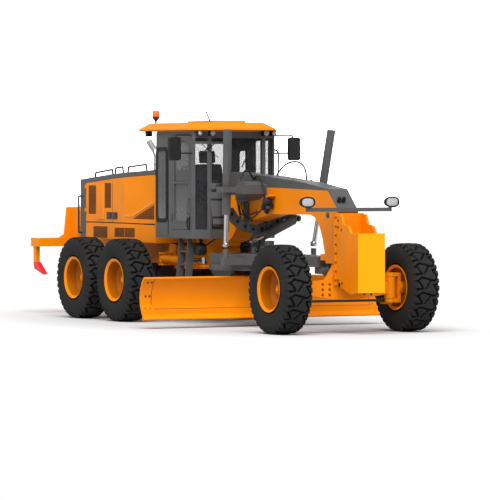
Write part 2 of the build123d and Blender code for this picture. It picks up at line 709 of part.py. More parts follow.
# Front axle beam with the ears that hold the kingpins.
def front_axle():
    centre = TYRE_RADIUS
    beam = [
        (-KINGPIN_Y + 110, centre - 95),
        (-260, centre - 160),
        (260, centre - 160),
        (KINGPIN_Y - 110, centre - 95),
        (KINGPIN_Y - 110, centre + 95),
        (300, centre + 130),
        (150, COLUMN_LOW - 12),
        (-150, COLUMN_LOW - 12),
        (-300, centre + 130),
        (-KINGPIN_Y + 110, centre + 95),
    ]
    axle = cross_shape(beam, AXLE_X - 90, AXLE_X + 90)
    for side in (1, -1):
        eye = upright((AXLE_X, side * KINGPIN_Y, centre), 85, 2 * YOKE_HALF - 100)
        arm = block(AXLE_X - 60, AXLE_X + 60, side * (KINGPIN_Y - 50) - 65, side * (KINGPIN_Y - 50) + 65, centre - 90, centre + 90)
        axle += eye + arm
        axle -= upright((AXLE_X, side * KINGPIN_Y, centre), KINGPIN_RADIUS + PIN_GAP, 900)
    mount = block(COLUMN_REAR + 60, COLUMN_FRONT - 60, -110, 110, COLUMN_LOW - 60, COLUMN_LOW)
    return axle + mount


# Steering knuckle for the left side: a yoke round the kingpin, a stub for the wheel and a steering arm.
def knuckle(side):
    centre = TYRE_RADIUS
    low = centre - YOKE_HALF + 50 - 60
    high = centre + YOKE_HALF - 50 + 60
    yoke = upright((AXLE_X, KINGPIN_Y, (high + centre + YOKE_HALF - 45) / 2), 80, high - centre - YOKE_HALF + 45)
    yoke += upright((AXLE_X, KINGPIN_Y, (low + centre - YOKE_HALF + 45) / 2), 80, centre - YOKE_HALF + 45 - low)
    yoke += block(AXLE_X - 75, AXLE_X + 75, KINGPIN_Y + 5, KINGPIN_Y + 150, centre + YOKE_HALF - 45, high)
    yoke += block(AXLE_X - 75, AXLE_X + 75, KINGPIN_Y + 5, KINGPIN_Y + 150, low, centre - YOKE_HALF + 45)
    yoke += block(AXLE_X - 75, AXLE_X + 75, KINGPIN_Y + 100, KINGPIN_Y + 150, low, high)
    face = WHEEL_Y - DISC_OFFSET - FRONT_COLLAR - HUB_GAP
    yoke += across((AXLE_X, (KINGPIN_Y + 120 + face) / 2, centre), 110, face - KINGPIN_Y - 120)
    yoke += upright((AXLE_X, KINGPIN_Y, centre), KINGPIN_RADIUS, high - low)
    arm = [(AXLE_X, KINGPIN_Y - 45), (AXLE_X, KINGPIN_Y + 45), (AXLE_X - STEER_ARM, KINGPIN_Y + 32), (AXLE_X - STEER_ARM, KINGPIN_Y - 32)]
    yoke += plan_shape(arm, low - 28, low)
    yoke += upright((AXLE_X - STEER_ARM, KINGPIN_Y, low - 14), 32, 28)
    yoke += upright((AXLE_X - STEER_ARM, KINGPIN_Y, low + 25), 14, 60)
    return yoke if side > 0 else mirrored(yoke)


def tie_rod():
    low = TYRE_RADIUS - YOKE_HALF - 10
    x = AXLE_X - STEER_ARM
    bar = rod((x, -KINGPIN_Y + 25, low + 24), (x, KINGPIN_Y - 25, low + 24), 20)
    for side in (1, -1):
        bar += upright((x, side * KINGPIN_Y, low + 24), 34, 36)
        bar -= upright((x, side * KINGPIN_Y, low + 24), 14 + PIN_GAP, 200)
    return bar


# Lift arms on both sides of the gooseneck, the holed lock bar under it and its side plates.
def lift_arms():
    x, y, z = LIFT_YOKE
    outline = [
        (3150, 1930),
        (3300, 2240),
        (3700, 2280),
        (x + 60, z + 70),
        (x + 60, z - 70),
        (3650, 1990),
    ]
    arm = side_shape(outline, NECK_HALF, 560)
    arm -= block(3100, 3600, 300, 600, 1900, 2060)
    head = block(x - 110, x + 60, 540, y - 118, z - 70, z + 70)
    ring_out = block(x - 120, x + 120, y - 118, y + 118, z - 45, z + 45)
    ring_in = upright((x, y, z), LIFT_BARREL + 34, 200) + across((x, y, z), TRUNNION + PIN_GAP, 234)
    arm = arm + head + (ring_out - ring_in)
    hanger = block(3170, 3330, NECK_HALF, NECK_HALF + 30, 1480, 1935)
    bar = []
    for part in range(9):
        angle = math.radians(-64 + 16 * part)
        bar.append((620 * math.sin(angle), 2070 - 620 * math.cos(angle)))
    for part in range(9):
        angle = math.radians(64 - 16 * part)
        bar.append((480 * math.sin(angle), 2070 - 480 * math.cos(angle)))
    saddle = cross_shape(bar, 3190, 3290)
    tank = Pos(3381, 745, 1845) * Cone(80, 128, 530)
    holder = block(3330, 3430, 540, 745, 2080, 2130)
    holder += rod((3160, 745, 2190), (3400, 745, 2190), 62)
    x, y, z = CENTRE_BASE
    foot = [(440, 1720), (560, 1820), (y + 50, z + 50), (y + 50, z - 50), (y - 60, z - 60)]
    post = cross_shape(foot, 3190, x - 75)
    post += Pos(x - 62.5 - SLIDE_GAP / 2, y, z) * Rot(0, 90, 0) * Cylinder(36, 25 - SLIDE_GAP)
    return both(arm) + both(hanger) + saddle + mirrored(tank + holder) + post


def cab_plan(inset):
    half = CAB_HALF - inset
    return [
        (CAB_REAR + inset, -half),
        (CAB_FRONT - inset, -half),
        (CAB_NOSE - inset, -half + 260),
        (CAB_NOSE - inset, half - 260),
        (CAB_FRONT - inset, half),
        (CAB_REAR + inset, half),
    ]


# The cab is a hollow frame of posts and rails with a floor, windows cut right through.
def cab_shell():
    shell = plan_shape(cab_plan(0), CAB_SKIRT, CAB_TOP)
    shell -= plan_shape(cab_plan(CAB_POST - 20), CAB_SKIRT - 1, CAB_FLOOR - FLOOR_PLATE)
    shell -= plan_shape(cab_plan(CAB_POST - 20), CAB_FLOOR, CAB_TOP - 50)
    # door openings on both sides, then the slim rear side windows
    shell -= block(DOOR_REAR, CAB_FRONT - CAB_POST, -CAB_HALF - 1, CAB_HALF + 1, DOOR_LOW, DOOR_HIGH)
    shell -= block(SIDE_PANE_REAR, SIDE_PANE_FRONT, -CAB_HALF - 1, CAB_HALF + 1, SIDE_PANE_LOW, SIDE_PANE_HIGH)
    # rear window
    shell -= block(CAB_REAR - 1, CAB_REAR + 200, -560, 560, 1900, 2920)
    # front windows: the middle one and the two that slant back to the doors
    shell -= block(CAB_NOSE - 200, CAB_NOSE + 1, -CAB_HALF + 290, CAB_HALF - 290, CAB_FLOOR + 20, 2960)
    for side in (1, -1):
        mid = Plane(origin=((CAB_FRONT + CAB_NOSE) / 2, side * (CAB_HALF - 130), 0), x_dir=(-110, side * 260, 0), z_dir=(0, 0, 1))
        pane = Pos(0, 0, (CAB_FLOOR + 20 + 2960) / 2) * Box(190, 260, 2960 - CAB_FLOOR - 20)
        shell -= mid * pane
    frame_slot = block(CAB_FRONT - 60, CAB_NOSE + 10, -NECK_HALF - 12, NECK_HALF + 12, CAB_SKIRT - 5, CAB_FLOOR - FLOOR_PLATE)
    shell += both(knuckles(DOOR_HINGE_X, CAB_HALF + KNUCKLE_OUT, DOOR_HINGE_LEVELS, 0, 30))
    return shell - frame_slot


def cab_glass():
    pane_y = CAB_HALF - 30
    panes = both(block(SIDE_PANE_REAR, SIDE_PANE_FRONT, pane_y, pane_y + GLASS, SIDE_PANE_LOW, SIDE_PANE_HIGH))
    panes += block(CAB_REAR + 20, CAB_REAR + 20 + GLASS, -560, 560, 1900, 2920)
    panes += block(CAB_NOSE - 30, CAB_NOSE - 30 + GLASS, -CAB_HALF + 290, CAB_HALF - 290, CAB_FLOOR + 20, 2960)
    for side in (1, -1):
        mid = Plane(origin=((CAB_FRONT + CAB_NOSE) / 2, side * (CAB_HALF - 130), 0), x_dir=(-110, side * 260, 0), z_dir=(0, 0, 1))
        pane = Pos(0, side * 18, (CAB_FLOOR + 20 + 2960) / 2) * Box(190, GLASS, 2940 - CAB_FLOOR)
        panes += mid * pane
    return panes


def cab_roof():
    lip = [
        (ROOF_REAR, -ROOF_HALF + 60),
        (ROOF_REAR + 80, -ROOF_HALF),
        (2400, -ROOF_HALF),
        (ROOF_FRONT, -ROOF_HALF + 260),
        (ROOF_FRONT, ROOF_HALF - 260),
        (2400, ROOF_HALF),
        (ROOF_REAR + 80, ROOF_HALF),
        (ROOF_REAR, ROOF_HALF - 60),
    ]
    top = [(ROOF_REAR + 130 + (x - ROOF_REAR) * 0.84, y * 0.82) for x, y in lip]
    base = Plane.XY.offset(ROOF_LIP + 25) * Polygon(*lip, align=None)
    high = Plane.XY.offset(ROOF_CROWN) * Polygon(*top, align=None)
    crown = loft([base.face(), high.face()])
    slab = plan_shape(lip, ROOF_LIP, ROOF_LIP + 25)
    neck = plan_shape(cab_plan(10), CAB_TOP, ROOF_LIP + 1)
    panel = block(1500, 2250, -330, 330, ROOF_CROWN - 1, ROOF_CROWN + 30)
    roof = crown + slab + panel + neck
    for x, y, half in ((2650, 480, 45), (2570, 664, 38), (720, 640, 45)):
        roof += both(block(x - 32, x + 32, y - half, y + half, ROOF_LIP - 88, ROOF_LIP + 5))
    beacon = upright((700, -500, ROOF_LIP + 130), 14, 150)
    beacon += Pos(700, -500, ROOF_LIP + 225) * Cone(20, 56, 50)
    beacon += upright((700, -500, ROOF_LIP + 290), 54, 90)
    return roof + beacon


def door(side):
    x0 = DOOR_REAR + DOOR_GAP
    x1 = CAB_FRONT - CAB_POST - DOOR_GAP
    y0 = CAB_HALF - DOOR_THICK
    leaf = block(x0, x1, y0, CAB_HALF, DOOR_LOW + DOOR_GAP, DOOR_HIGH - DOOR_GAP)
    leaf -= block(x0 + 70, x1 - 70, y0 - 1, CAB_HALF + 1, 1640, DOOR_HIGH - 90)
    handle = tube_path([(x1 - 40, CAB_HALF - 5, 1760), (x1 - 40, CAB_HALF + 45, 1760), (x1 - 40, CAB_HALF + 45, 1990), (x1 - 40, CAB_HALF - 5, 1990)], 20, 12)
    leaf += handle
    leaf += knuckles(DOOR_HINGE_X, CAB_HALF + KNUCKLE_OUT, DOOR_HINGE_LEVELS, 1, 30)
    return leaf if side > 0 else mirrored(leaf)


def door_glass(side):
    x0 = DOOR_REAR + DOOR_GAP + 70
    x1 = CAB_FRONT - CAB_POST - DOOR_GAP - 70
    pane = block(x0, x1, CAB_HALF - 26, CAB_HALF - 26 + GLASS, 1640, DOOR_HIGH - 90)
    return pane if side > 0 else mirrored(pane)


def cab_interior():
    base = block(1560, 1960, -190, 190, CAB_FLOOR, CAB_FLOOR + 330)
    cushion = block(1530, 2040, -260, 260, CAB_FLOOR + 330, CAB_FLOOR + 460)
    back = side_shape([(1520, CAB_FLOOR + 400), (1640, CAB_FLOOR + 400), (1540, 2560), (1430, 2560)], -240, 240)
    head = block(1430, 1520, -130, 130, 2560, 2740)
    column = side_shape([(2200, CAB_FLOOR), (2380, CAB_FLOOR), (2330, 2180), (2250, 2180)], -90, 90)
    desk = side_shape([(2180, 2120), (2360, 2230), (2340, 2290), (2160, 2190)], -230, 230)
    return base + cushion + back + head + column + desk


# Access ladders under both doors, with flat side plates and three treads.
def ladders():
    x0 = 1905
    x1 = 2235
    ladder = Part()
    for x in (x0, x1 - 22):
        outline = [
            (CAB_HALF - 110, CAB_SKIRT),
            (CAB_HALF - 40, CAB_SKIRT),
            (CAB_HALF - 40, 1180),
            (CAB_HALF + 10, 700),
            (CAB_HALF - 110, 700),
            (CAB_HALF - 160, 1180),
        ]
        ladder += cross_shape(outline, x, x + 22)
    for z in (720, 930, 1140):
        ladder += block(x0 + 10, x1 - 10, CAB_HALF - 120, CAB_HALF - 55, z, z + 28)
    return both(ladder)


def mirrors():
    head = Pos(2510, 1075, 2790) * Box(70, 200, 370)
    head = fillet(head.edges().filter_by(Axis.X), 40)
    upper = tube_path([(2445, CAB_HALF, 3010), (2445, 900, 3010), (2510, 1050, 3010), (2510, 1050, 2900)], 40, 12)
    lower = tube_path([(2445, CAB_HALF, 2720), (2445, 880, 2720), (2505, 1040, 2720)], 40, 11)
    return both(head + upper + lower)


def drawbar_ball():
    ball = Pos(BALL_X, 0, BALL_Z) * Sphere(BALL_RADIUS)
    stem = block(BALL_X - 28, BALL_X + 28, -28, 28, BALL_Z + 20, BALL_SEAT)
    return ball + stem


# Drawbar: a V of two box arms from the ball to a cross plate that holds the circle and the lift sockets.
def drawbar():
    low = CIRCLE_HIGH + CIRCLE_GAP
    high = 1140
    arm = [
        (BALL_X - 160, 20),
        (BALL_X - 160, 110),
        (CIRCLE_X + 250, 560),
        (CIRCLE_X - 420, 560),
        (CIRCLE_X - 420, 420),
        (CIRCLE_X + 150, 420),
    ]
    body = both(plan_shape(arm, low, high))
    body += block(CIRCLE_X + 250, CIRCLE_X + 430, -440, 440, low, high)
    body += block(CIRCLE_X - 420, CIRCLE_X - 300, -430, 430, low, high)
    body += block(CIRCLE_X + 200, CIRCLE_X + 300, -440, 440, low, high)
    body += block(BALL_X - 480, BALL_X - 130, -90, 90, low, high)
    socket = Pos(BALL_X, 0, BALL_Z) * Sphere(BALL_RADIUS + 45)
    socket -= Pos(BALL_X, 0, BALL_Z) * Sphere(BALL_RADIUS + SOCKET_GAP)
    socket -= block(BALL_X - 200, BALL_X + 200, -200, 200, BALL_Z + 45, BALL_Z + 300)
    neck = block(BALL_X - 330, BALL_X - 95, -70, 70, BALL_Z - 60, low + 5)
    body += socket + neck
    x, y, z = LIFT_EYE
    wing = plan_shape([(x - 200, 540), (x + 60, 450), (x + 60, y + 60), (x - 60, y + 60)], low, low + 110)
    ball = upright((x, y, (low + z) / 2 - 20), 42, z - low - 40)
    body += both(wing + ball)
    x, y, z = CENTRE_EYE
    body += upright((x, y, (high - 60 + z - 85) / 2), 40, z - 85 - high + 60)
    drive = upright((DRIVE_X, 0, (low + high) / 2 + 60), 140, high - low + 120)
    drive += upright((DRIVE_X, 0, high + 160), 75, 90)
    drive += block(CIRCLE_X + 300, DRIVE_X, -200, 200, low, high)
    return body + drive


# Circle ring with the two curved arms that hold the blade.
def circle():
    ring = upright((CIRCLE_X, 0, (CIRCLE_LOW + CIRCLE_HIGH) / 2), CIRCLE_RADIUS, CIRCLE_HIGH - CIRCLE_LOW)
    ring -= upright((CIRCLE_X, 0, (CIRCLE_LOW + CIRCLE_HIGH) / 2), CIRCLE_BORE, 200)
    arm = [
        (CIRCLE_X - 330, CIRCLE_LOW + 20),
        (CIRCLE_X + 330, CIRCLE_LOW + 20),
        (CIRCLE_X + 330, CIRCLE_LOW - 40),
        (TIP_X + 30, TIP_Z + 150),
        (TIP_X + 55, TIP_Z),
        (TIP_X, TIP_Z - 55),
        (TIP_X - 60, TIP_Z),
        (TIP_X - 120, TIP_Z + 130),
        (CIRCLE_X - 330, CIRCLE_LOW - 60),
    ]
    plate = side_shape(arm, 520, 570)
    plate -= across((TIP_X, 545, TIP_Z), 30 + PIN_GAP, 200)
    return ring + both(plate)


# Tip carrier: two brackets on the arm pins that hold the rails behind the blade.
def blade_carrier():
    outline = [
        (TIP_X - 45, TIP_Z + 45),
        (TIP_X - 45, TIP_Z - 45),
        (TIP_X + 30, TIP_Z - 260),
        (TIP_X + CARRIER_REACH, TIP_Z - 260),
        (TIP_X + CARRIER_REACH, TIP_Z + 110),
        (TIP_X + 20, TIP_Z + 110),
    ]
    bracket = side_shape(outline, 578, 628)
    bracket += across((TIP_X, 575, TIP_Z), 30, 106)
    for z in (TIP_Z - 230, TIP_Z + 60):
        bracket += block(TIP_X + 20, TIP_X + CARRIER_REACH, 540, 660, z, z + 40) - block(TIP_X + 20, TIP_X + CARRIER_REACH, 520, 570, z - 5, z + 45)
    link = block(TIP_X - 40, TIP_X - 10, -600, 600, TIP_Z - 150, TIP_Z - 100)
    return both(bracket) + link


def blade_curve(offset):
    points = []
    for angle in (-52, -34, -16, 2, 20, 38, 50):
        turn = math.radians(angle)
        radius = 430 + offset
        points.append((BLADE_BACK + 430 - radius * math.cos(turn), BLADE_DEEP_Z - 16 + radius * math.sin(turn)))
    return points


# Moldboard: a curved plate with a bolted cutting edge, slide rails at the back and end bits.
def moldboard():
    back = blade_curve(0)
    front = blade_curve(-BLADE_THICK)
    half = BLADE_LENGTH / 2
    plate = side_shape(back + front[::-1], -half, half)
    edge = [(BLADE_EDGE_X - 2, BLADE_LOW), (BLADE_EDGE_X + 18, BLADE_LOW), (BLADE_EDGE_X + 4, 300), (BLADE_EDGE_X - 22, 300)]
    board = plate + side_shape(edge, -half, half)
    end_bit = [
        (BLADE_EDGE_X + 10, BLADE_LOW),
        (BLADE_EDGE_X + 32, BLADE_LOW),
        (BLADE_EDGE_X + 8, 252),
        (BLADE_EDGE_X - 44, 368),
        (BLADE_EDGE_X - 72, 360),
        (BLADE_EDGE_X - 14, 240),
    ]
    board += both(side_shape(end_bit, half - 190, half))
    rail_x = TIP_X + CARRIER_REACH + SLIDE_GAP
    for z in (TIP_Z - 225, TIP_Z + 65):
        board += block(rail_x, BLADE_BACK + 35, -RAIL_HALF, RAIL_HALF, z, z + 30)
    return board


def lift_axis(share):
    top = Vector(*LIFT_YOKE)
    eye = Vector(*LIFT_EYE)
    return top + (eye - top) * share


def lift_barrel(side):
    yoke = Vector(*LIFT_YOKE)
    run = (Vector(*LIFT_EYE) - yoke).normalized()
    barrel = rod(yoke - run * LIFT_LENGTH, lift_axis(0.43), LIFT_BARREL)
    barrel -= rod(yoke - run * (LIFT_LENGTH - 60), lift_axis(0.5), ROD_RADIUS + ROD_GAP)
    pin = across(LIFT_YOKE, TRUNNION, 232) - rod(yoke - run * 200, yoke + run * 200, LIFT_BARREL - 5)
    barrel += pin
    return barrel if side > 0 else mirrored(barrel)


def lift_rod(side):
    stem = rod(lift_axis(-0.35), lift_axis(0.93), ROD_RADIUS)
    x, y, z = LIFT_EYE
    eye = Pos(x, y, z + 30) * Sphere(52)
    eye -= block(x - 100, x + 100, y - 100, y + 100, z - 100, z - 8)
    return stem + eye if side > 0 else mirrored(stem + eye)


# Barrel and rod between two points, with eyes across the direction given by turn.
def cylinder_pair(base, eye, radius, share, turn):
    base = Vector(*base)
    eye = Vector(*eye)
    mid = base + (eye - base) * share
    run = (eye - base).normalized()
    barrel = rod(base + run * 60, mid, radius) + rod(base + run * 30, base + run * 62, 40)
    barrel -= rod(base + run * 90, mid + run * 5, ROD_RADIUS + ROD_GAP)
    stem = rod(base + run * ((mid - base).length * 0.55), eye - run * 30, ROD_RADIUS)
    barrel += Pos(base.X, base.Y, base.Z) * turn * (Cylinder(52, 100) - Cylinder(24 + PIN_GAP, 300))
    stem += Pos(eye.X, eye.Y, eye.Z) * turn * (Cylinder(52, 100) - Cylinder(24 + PIN_GAP, 300))
    return barrel, stem


# Ripper carriage: cross beam, tower and cheeks that carry the two pairs of link pins.
def ripper():
    half = RIPPER_BEAM_HALF
    x = RIPPER_BEAM_X
    beam = block(x - 60, x + 260, -half, half, RIPPER_BEAM_LOW, RIPPER_BEAM_HIGH)
    tower = [
        (-520, RIPPER_BEAM_HIGH - 5),
        (-400, RIPPER_BEAM_HIGH + 60),
        (-350, RIPPER_TOWER_TOP),
        (350, RIPPER_TOWER_TOP),
        (400, RIPPER_BEAM_HIGH + 60),
        (520, RIPPER_BEAM_HIGH - 5),
    ]
    beam += cross_shape(tower, x + 60, x + 110)
    pin_x = LINK_X - LINK_RUN
    low = LINK_LOW + LINK_RISE
    high = LINK_HIGH + LINK_RISE
    cheek = [
        (x + 100, RIPPER_BEAM_LOW),
        (x + 100, RIPPER_TOWER_TOP),
        (x + 400, RIPPER_TOWER_TOP),
        (pin_x + 50, high + 60),
        (pin_x + 50, high - 60),
        (x + 400, high - 120),
        (x + 400, low + 120),
        (pin_x + 50, low + 55),
        (pin_x + 50, low - 40),
    ]
    beam += both(side_shape(cheek, CHEEK_Y, CHEEK_Y + 35))
    for z in (low, high):
        beam += both(across((pin_x, CHEEK_Y - 25, z), LINK_PIN, 52))
    for y in (-half + 60, 0, half - 60):
        beam += block(x - 10, x + 100, y - 35, y + 35, SHANK_FOOT, RIPPER_BEAM_LOW + 5)
    ear = [
        (x + 255, RIPPER_BEAM_LOW + 10),
        (x + 255, RIPPER_BEAM_HIGH - 10),
        (RIPPER_ROD_EYE[0] + 55, RIPPER_ROD_EYE[2] + 50),
        (RIPPER_ROD_EYE[0] + 55, RIPPER_ROD_EYE[2] - 50),
    ]
    return beam + both(side_shape(ear, 56, 80))


def ripper_teeth():
    teeth = Part()
    for y in (-RIPPER_BEAM_HALF + 60, 0, RIPPER_BEAM_HALF - 60):
        x = RIPPER_BEAM_X
        foot = SHANK_FOOT
        outline = [(x - 10, foot), (x + 130, foot), (x + 400, 680), (x + 380, 665), (x + 30, 760)]
        teeth += side_shape(outline, y - 38, y + 38)
    return teeth


# A pair of parallel ripper links joined by a cross tube; the upper pair is the same, higher up.
def ripper_link(base_z, share):
    links = Part()
    start = (LINK_X, base_z)
    end = (LINK_X - LINK_RUN, base_z + LINK_RISE)
    for y in (LINK_Y, -LINK_Y):
        bar = side_shape([
            (start[0] - 18, start[1] - 52), (start[0] + 18, start[1] + 48), (end[0] + 18, end[1] + 52), (end[0] - 18, end[1] - 48)],
            y - LINK_HALF, y + LINK_HALF)
        bar += across((start[0], y, start[1]), 56, 2 * LINK_HALF) + across((end[0], y, end[1]), 56, 2 * LINK_HALF)
        bar -= across((start[0], y, start[1]), LINK_PIN + PIN_GAP, 100)
        bar -= across((end[0], y, end[1]), LINK_PIN + PIN_GAP, 100)
        links += bar
    middle = (start[0] - share * LINK_RUN, 0, start[1] + share * LINK_RISE)
    return links + across(middle, 30, 2 * LINK_Y)


# Fixed bracket behind the rear frame that carries the ripper links and the foot of its cylinder.
def ripper_mount():
    plate = [
        (RAIL_REAR - 40, LINK_LOW - 80),
        (RAIL_REAR - 40, 1560),
        (LINK_X - 60, 1560),
        (LINK_X - 60, LINK_LOW - 80),
    ]
    mount = both(side_shape(plate, CHEEK_Y, CHEEK_Y + 35))
    mount += block(RAIL_REAR - 45, RAIL_REAR, -320, 320, LINK_LOW - 60, 1560)
    for z in (LINK_LOW, LINK_HIGH):
        mount += both(across((LINK_X, CHEEK_Y - 25, z), LINK_PIN, 52))
    x, y, z = RIPPER_BASE
    mount += both(block(x - 55, RAIL_REAR - 40, 62, 86, z - 55, z + 55))
    mount += across((x, 0, z), 24, 150)
    return mount


def place(shape, name):
    shape = Pos(-ORIGIN_X, 0, 0) * shape
    export_step(shape, os.path.join("parts", name + ".step"))


def main():
    os.makedirs("parts", exist_ok=True)
    place(rear_frame() + ripper_mount(), "rear_frame")
    place(engine_block(), "engine_block")
    place(hood_cowl(), "hood_cowl")
    place(hood_panels(), "hood_panels")
    place(exhaust_stack(), "exhaust_stack")
    place(rear_axle(), "rear_axle")
    ring = tyre()
    for side, name in ((1, "left"), (-1, "right")):
        place(hood_door(side), "hood_door_" + name)
        place(door(side), "cab_door_" + name)
        place(door_glass(side), "cab_door_glass_" + name)
        for x, where in ((REAR_HALF, "middle"), (-REAR_HALF, "rear"), (AXLE_X, "front")):
            rim_shape = front_wheel_rim() if where == "front" else rear_wheel_rim()
            place(at_wheel(ring, x, side), where + "_tyre_" + name)
            place(at_wheel(rim_shape, x, side), where + "_rim_" + name)
        place(knuckle(side), "knuckle_" + name)
        place(lift_barrel(side), "lift_barrel_" + name)
        place(lift_rod(side), "lift_rod_" + name)
        start = (ARTIC_REAR[0], side * ARTIC_REAR[1], ARTIC_REAR[2])
        end = (ARTIC_FRONT[0], side * ARTIC_FRONT[1], ARTIC_FRONT[2])
        barrel, stem = cylinder_pair(start, end, 62, 0.56, Rot(0, 0, 0))
        place(barrel, "articulation_barrel_" + name)
        place(stem, "articulation_rod_" + name)
    place(front_frame(), "front_frame")
    place(frame_cover(), "frame_cover")
    place(push_block(), "push_block")
    place(light_bar(), "light_bar")
    place(front_axle(), "front_axle")
    place(tie_rod(), "tie_rod")
    place(lift_arms(), "lift_arms")
    place(cab_shell(), "cab_shell")
    place(cab_roof(), "cab_roof")
    place(cab_glass(), "cab_glass")
    place(cab_interior(), "cab_interior")
    place(ladders(), "ladders")
    place(mirrors(), "mirrors")
    place(drawbar_ball(), "drawbar_ball")
    place(drawbar(), "drawbar")
    place(circle(), "circle")
    place(blade_carrier(), "blade_carrier")
    place(moldboard(), "moldboard")
    barrel, stem = cylinder_pair(CENTRE_BASE, CENTRE_EYE, 70, 0.58, Rot(0, 90, 0))
    place(barrel, "centre_shift_barrel")
    place(stem, "centre_shift_rod")
    barrel, stem = cylinder_pair(RIPPER_BASE, RIPPER_ROD_EYE, 58, 0.6, Rot(90, 0, 0))
    place(barrel, "ripper_barrel")
    place(stem, "ripper_rod")
    place(ripper_link(LINK_LOW, 0.3), "ripper_lower_links")
    place(ripper_link(LINK_HIGH, 0.78), "ripper_upper_links")
    place(ripper(), "ripper")
    place(ripper_teeth(), "ripper_teeth")


main()
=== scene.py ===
from math import cos, hypot, pi, radians, sin
import bpy
from mathutils import Matrix, Vector


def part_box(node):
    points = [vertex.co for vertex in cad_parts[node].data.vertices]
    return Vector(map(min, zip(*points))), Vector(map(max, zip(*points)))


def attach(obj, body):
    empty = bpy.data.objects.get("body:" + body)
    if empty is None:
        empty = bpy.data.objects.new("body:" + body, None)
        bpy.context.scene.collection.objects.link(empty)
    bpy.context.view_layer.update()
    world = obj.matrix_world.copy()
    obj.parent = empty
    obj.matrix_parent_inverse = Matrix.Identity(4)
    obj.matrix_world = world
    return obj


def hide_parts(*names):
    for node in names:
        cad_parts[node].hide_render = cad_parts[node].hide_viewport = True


# Looks of the motor grader. Sizes are real metres. Places along the machine are written from
# the middle of the tandem wheels, as in the part's source, and AHEAD moves them to the frame.

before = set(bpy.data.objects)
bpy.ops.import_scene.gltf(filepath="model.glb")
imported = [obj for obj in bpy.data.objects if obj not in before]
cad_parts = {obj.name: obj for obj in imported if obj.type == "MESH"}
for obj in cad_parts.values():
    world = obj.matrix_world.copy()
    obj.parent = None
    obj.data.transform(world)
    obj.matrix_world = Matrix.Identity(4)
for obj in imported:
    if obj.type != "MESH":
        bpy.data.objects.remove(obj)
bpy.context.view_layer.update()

AHEAD = -1.865
TYRE_RADIUS = 0.672
WHEEL_Y = 1.095
AXLE_X = 6.07
REAR_HALF = 0.77
WHEEL_ROWS = (("rear", -REAR_HALF), ("middle", REAR_HALF), ("front", AXLE_X))
SIDES = (("left", 1), ("right", -1))
WHEELS = [(row, side, x, sign) for row, x in WHEEL_ROWS for side, sign in SIDES]
HOOD_Y = 0.75
CAB_Y = 0.74
ROD_RADIUS = 0.034


def clamp(value):
    return max(0.0, min(1.0, value))


# angles of equal steps round a circle; start is the first one's share of a step
def turns(count, start=0.0):
    return [2 * pi * (k + start) / count for k in range(count)]


def even_steps(first, step, count):
    return [first + step * k for k in range(count)]


def new_mesh(name, verts, faces, material, smooth=None):
    mesh = bpy.data.meshes.new(name)
    mesh.from_pydata(verts, [], faces)
    mesh.materials.append(material)
    if smooth:
        mesh.shade_smooth()
        mesh.set_sharp_from_angle(angle=radians(smooth))
    return mesh


def new_object(name, data):
    made = bpy.data.objects.new(name, data)
    bpy.context.scene.collection.objects.link(made)
    return made


# Materials: helpers that build node trees, then the machine's own coats

RAMP_ENDS = (0.35, 0.65)
LIGHT_SHARE = 0.4
ROUGHNESS_SPREAD = 0.07
BUMP_HEIGHT = 0.004


def tone(colour, factor):
    return tuple(min(1.0, c * factor) for c in colour[:3]) + (1.0,)


def shader_of(material):
    return material.node_tree.nodes["Principled BSDF"]


# gives each named input of a node its value, or the socket that feeds it
def feed(node, inputs):
    for name, value in inputs.items():
        if isinstance(value, bpy.types.NodeSocket):
            node.id_data.links.new(value, node.inputs[name])
        else:
            node.inputs[name].default_value = value


def add_node(material, kind, inputs, operation=None):
    node = material.node_tree.nodes.new(kind)
    if operation:
        node.operation = operation
    feed(node, inputs)
    return node


def place_on(material):
    return add_node(material, "ShaderNodeTexCoord", {}).outputs["Object"]


def surface(name, colour, roughness, metallic=0.0, change=0.12, grain=40.0, bump=0.0,
            coat=0.0, patch=3.0, gleam=0.3):
    material = bpy.data.materials.new(name)
    material.use_nodes = True
    place = place_on(material)
    broad, fine = (add_node(material, "ShaderNodeTexNoise", {
        "Vector": place, "Scale": scale, "Detail": detail})
        for scale, detail in ((patch, 3.0), (grain, 4.0)))
    ramp = add_node(material, "ShaderNodeValToRGB", {"Fac": broad.outputs["Fac"]})
    shades = (tone(colour, 1.0 - change), tone(colour, 1.0 + change * LIGHT_SHARE))
    for stop, share, shade in zip(ramp.color_ramp.elements, RAMP_ENDS, shades):
        stop.position = share
        stop.color = shade
    spread = add_node(material, "ShaderNodeMapRange", {
        "Value": fine.outputs["Fac"],
        "To Min": max(0.03, roughness - ROUGHNESS_SPREAD),
        "To Max": min(1.0, roughness + ROUGHNESS_SPREAD)})
    shader = shader_of(material)
    feed(shader, {
        "Base Color": ramp.outputs["Color"], "Roughness": spread.outputs["Result"],
        "Metallic": metallic, "Coat Weight": coat, "Specular IOR Level": gleam})
    if bump:
        lift = add_node(material, "ShaderNodeBump", {
            "Height": fine.outputs["Fac"], "Strength": bump, "Distance": BUMP_HEIGHT})
        feed(shader, {"Normal": lift.outputs["Normal"]})
    return material


def pane(name, colour, alpha):
    material = surface(name, colour, 0.05, change=0.05, grain=12.0)
    feed(shader_of(material), {"Alpha": alpha})
    material.surface_render_method = "BLENDED"
    return material


def glow(name, strength):
    white = (1.0, 1.0, 1.0)
    material = surface(name, white, 0.9, change=0.0, grain=4.0, patch=0.3, gleam=0.0)
    feed(shader_of(material), {"Emission Color": (*white, 1.0), "Emission Strength": strength})
    return material


# one axis of the place on the object, run through steps of an operation and its value
def along_axis(material, axis, *steps):
    apart = add_node(material, "ShaderNodeSeparateXYZ", {"Vector": place_on(material)})
    source = apart.outputs[axis]
    for operation, value in steps:
        step = add_node(material, "ShaderNodeMath", {0: source, 1: value}, operation)
        source = step.outputs["Value"]
    return source


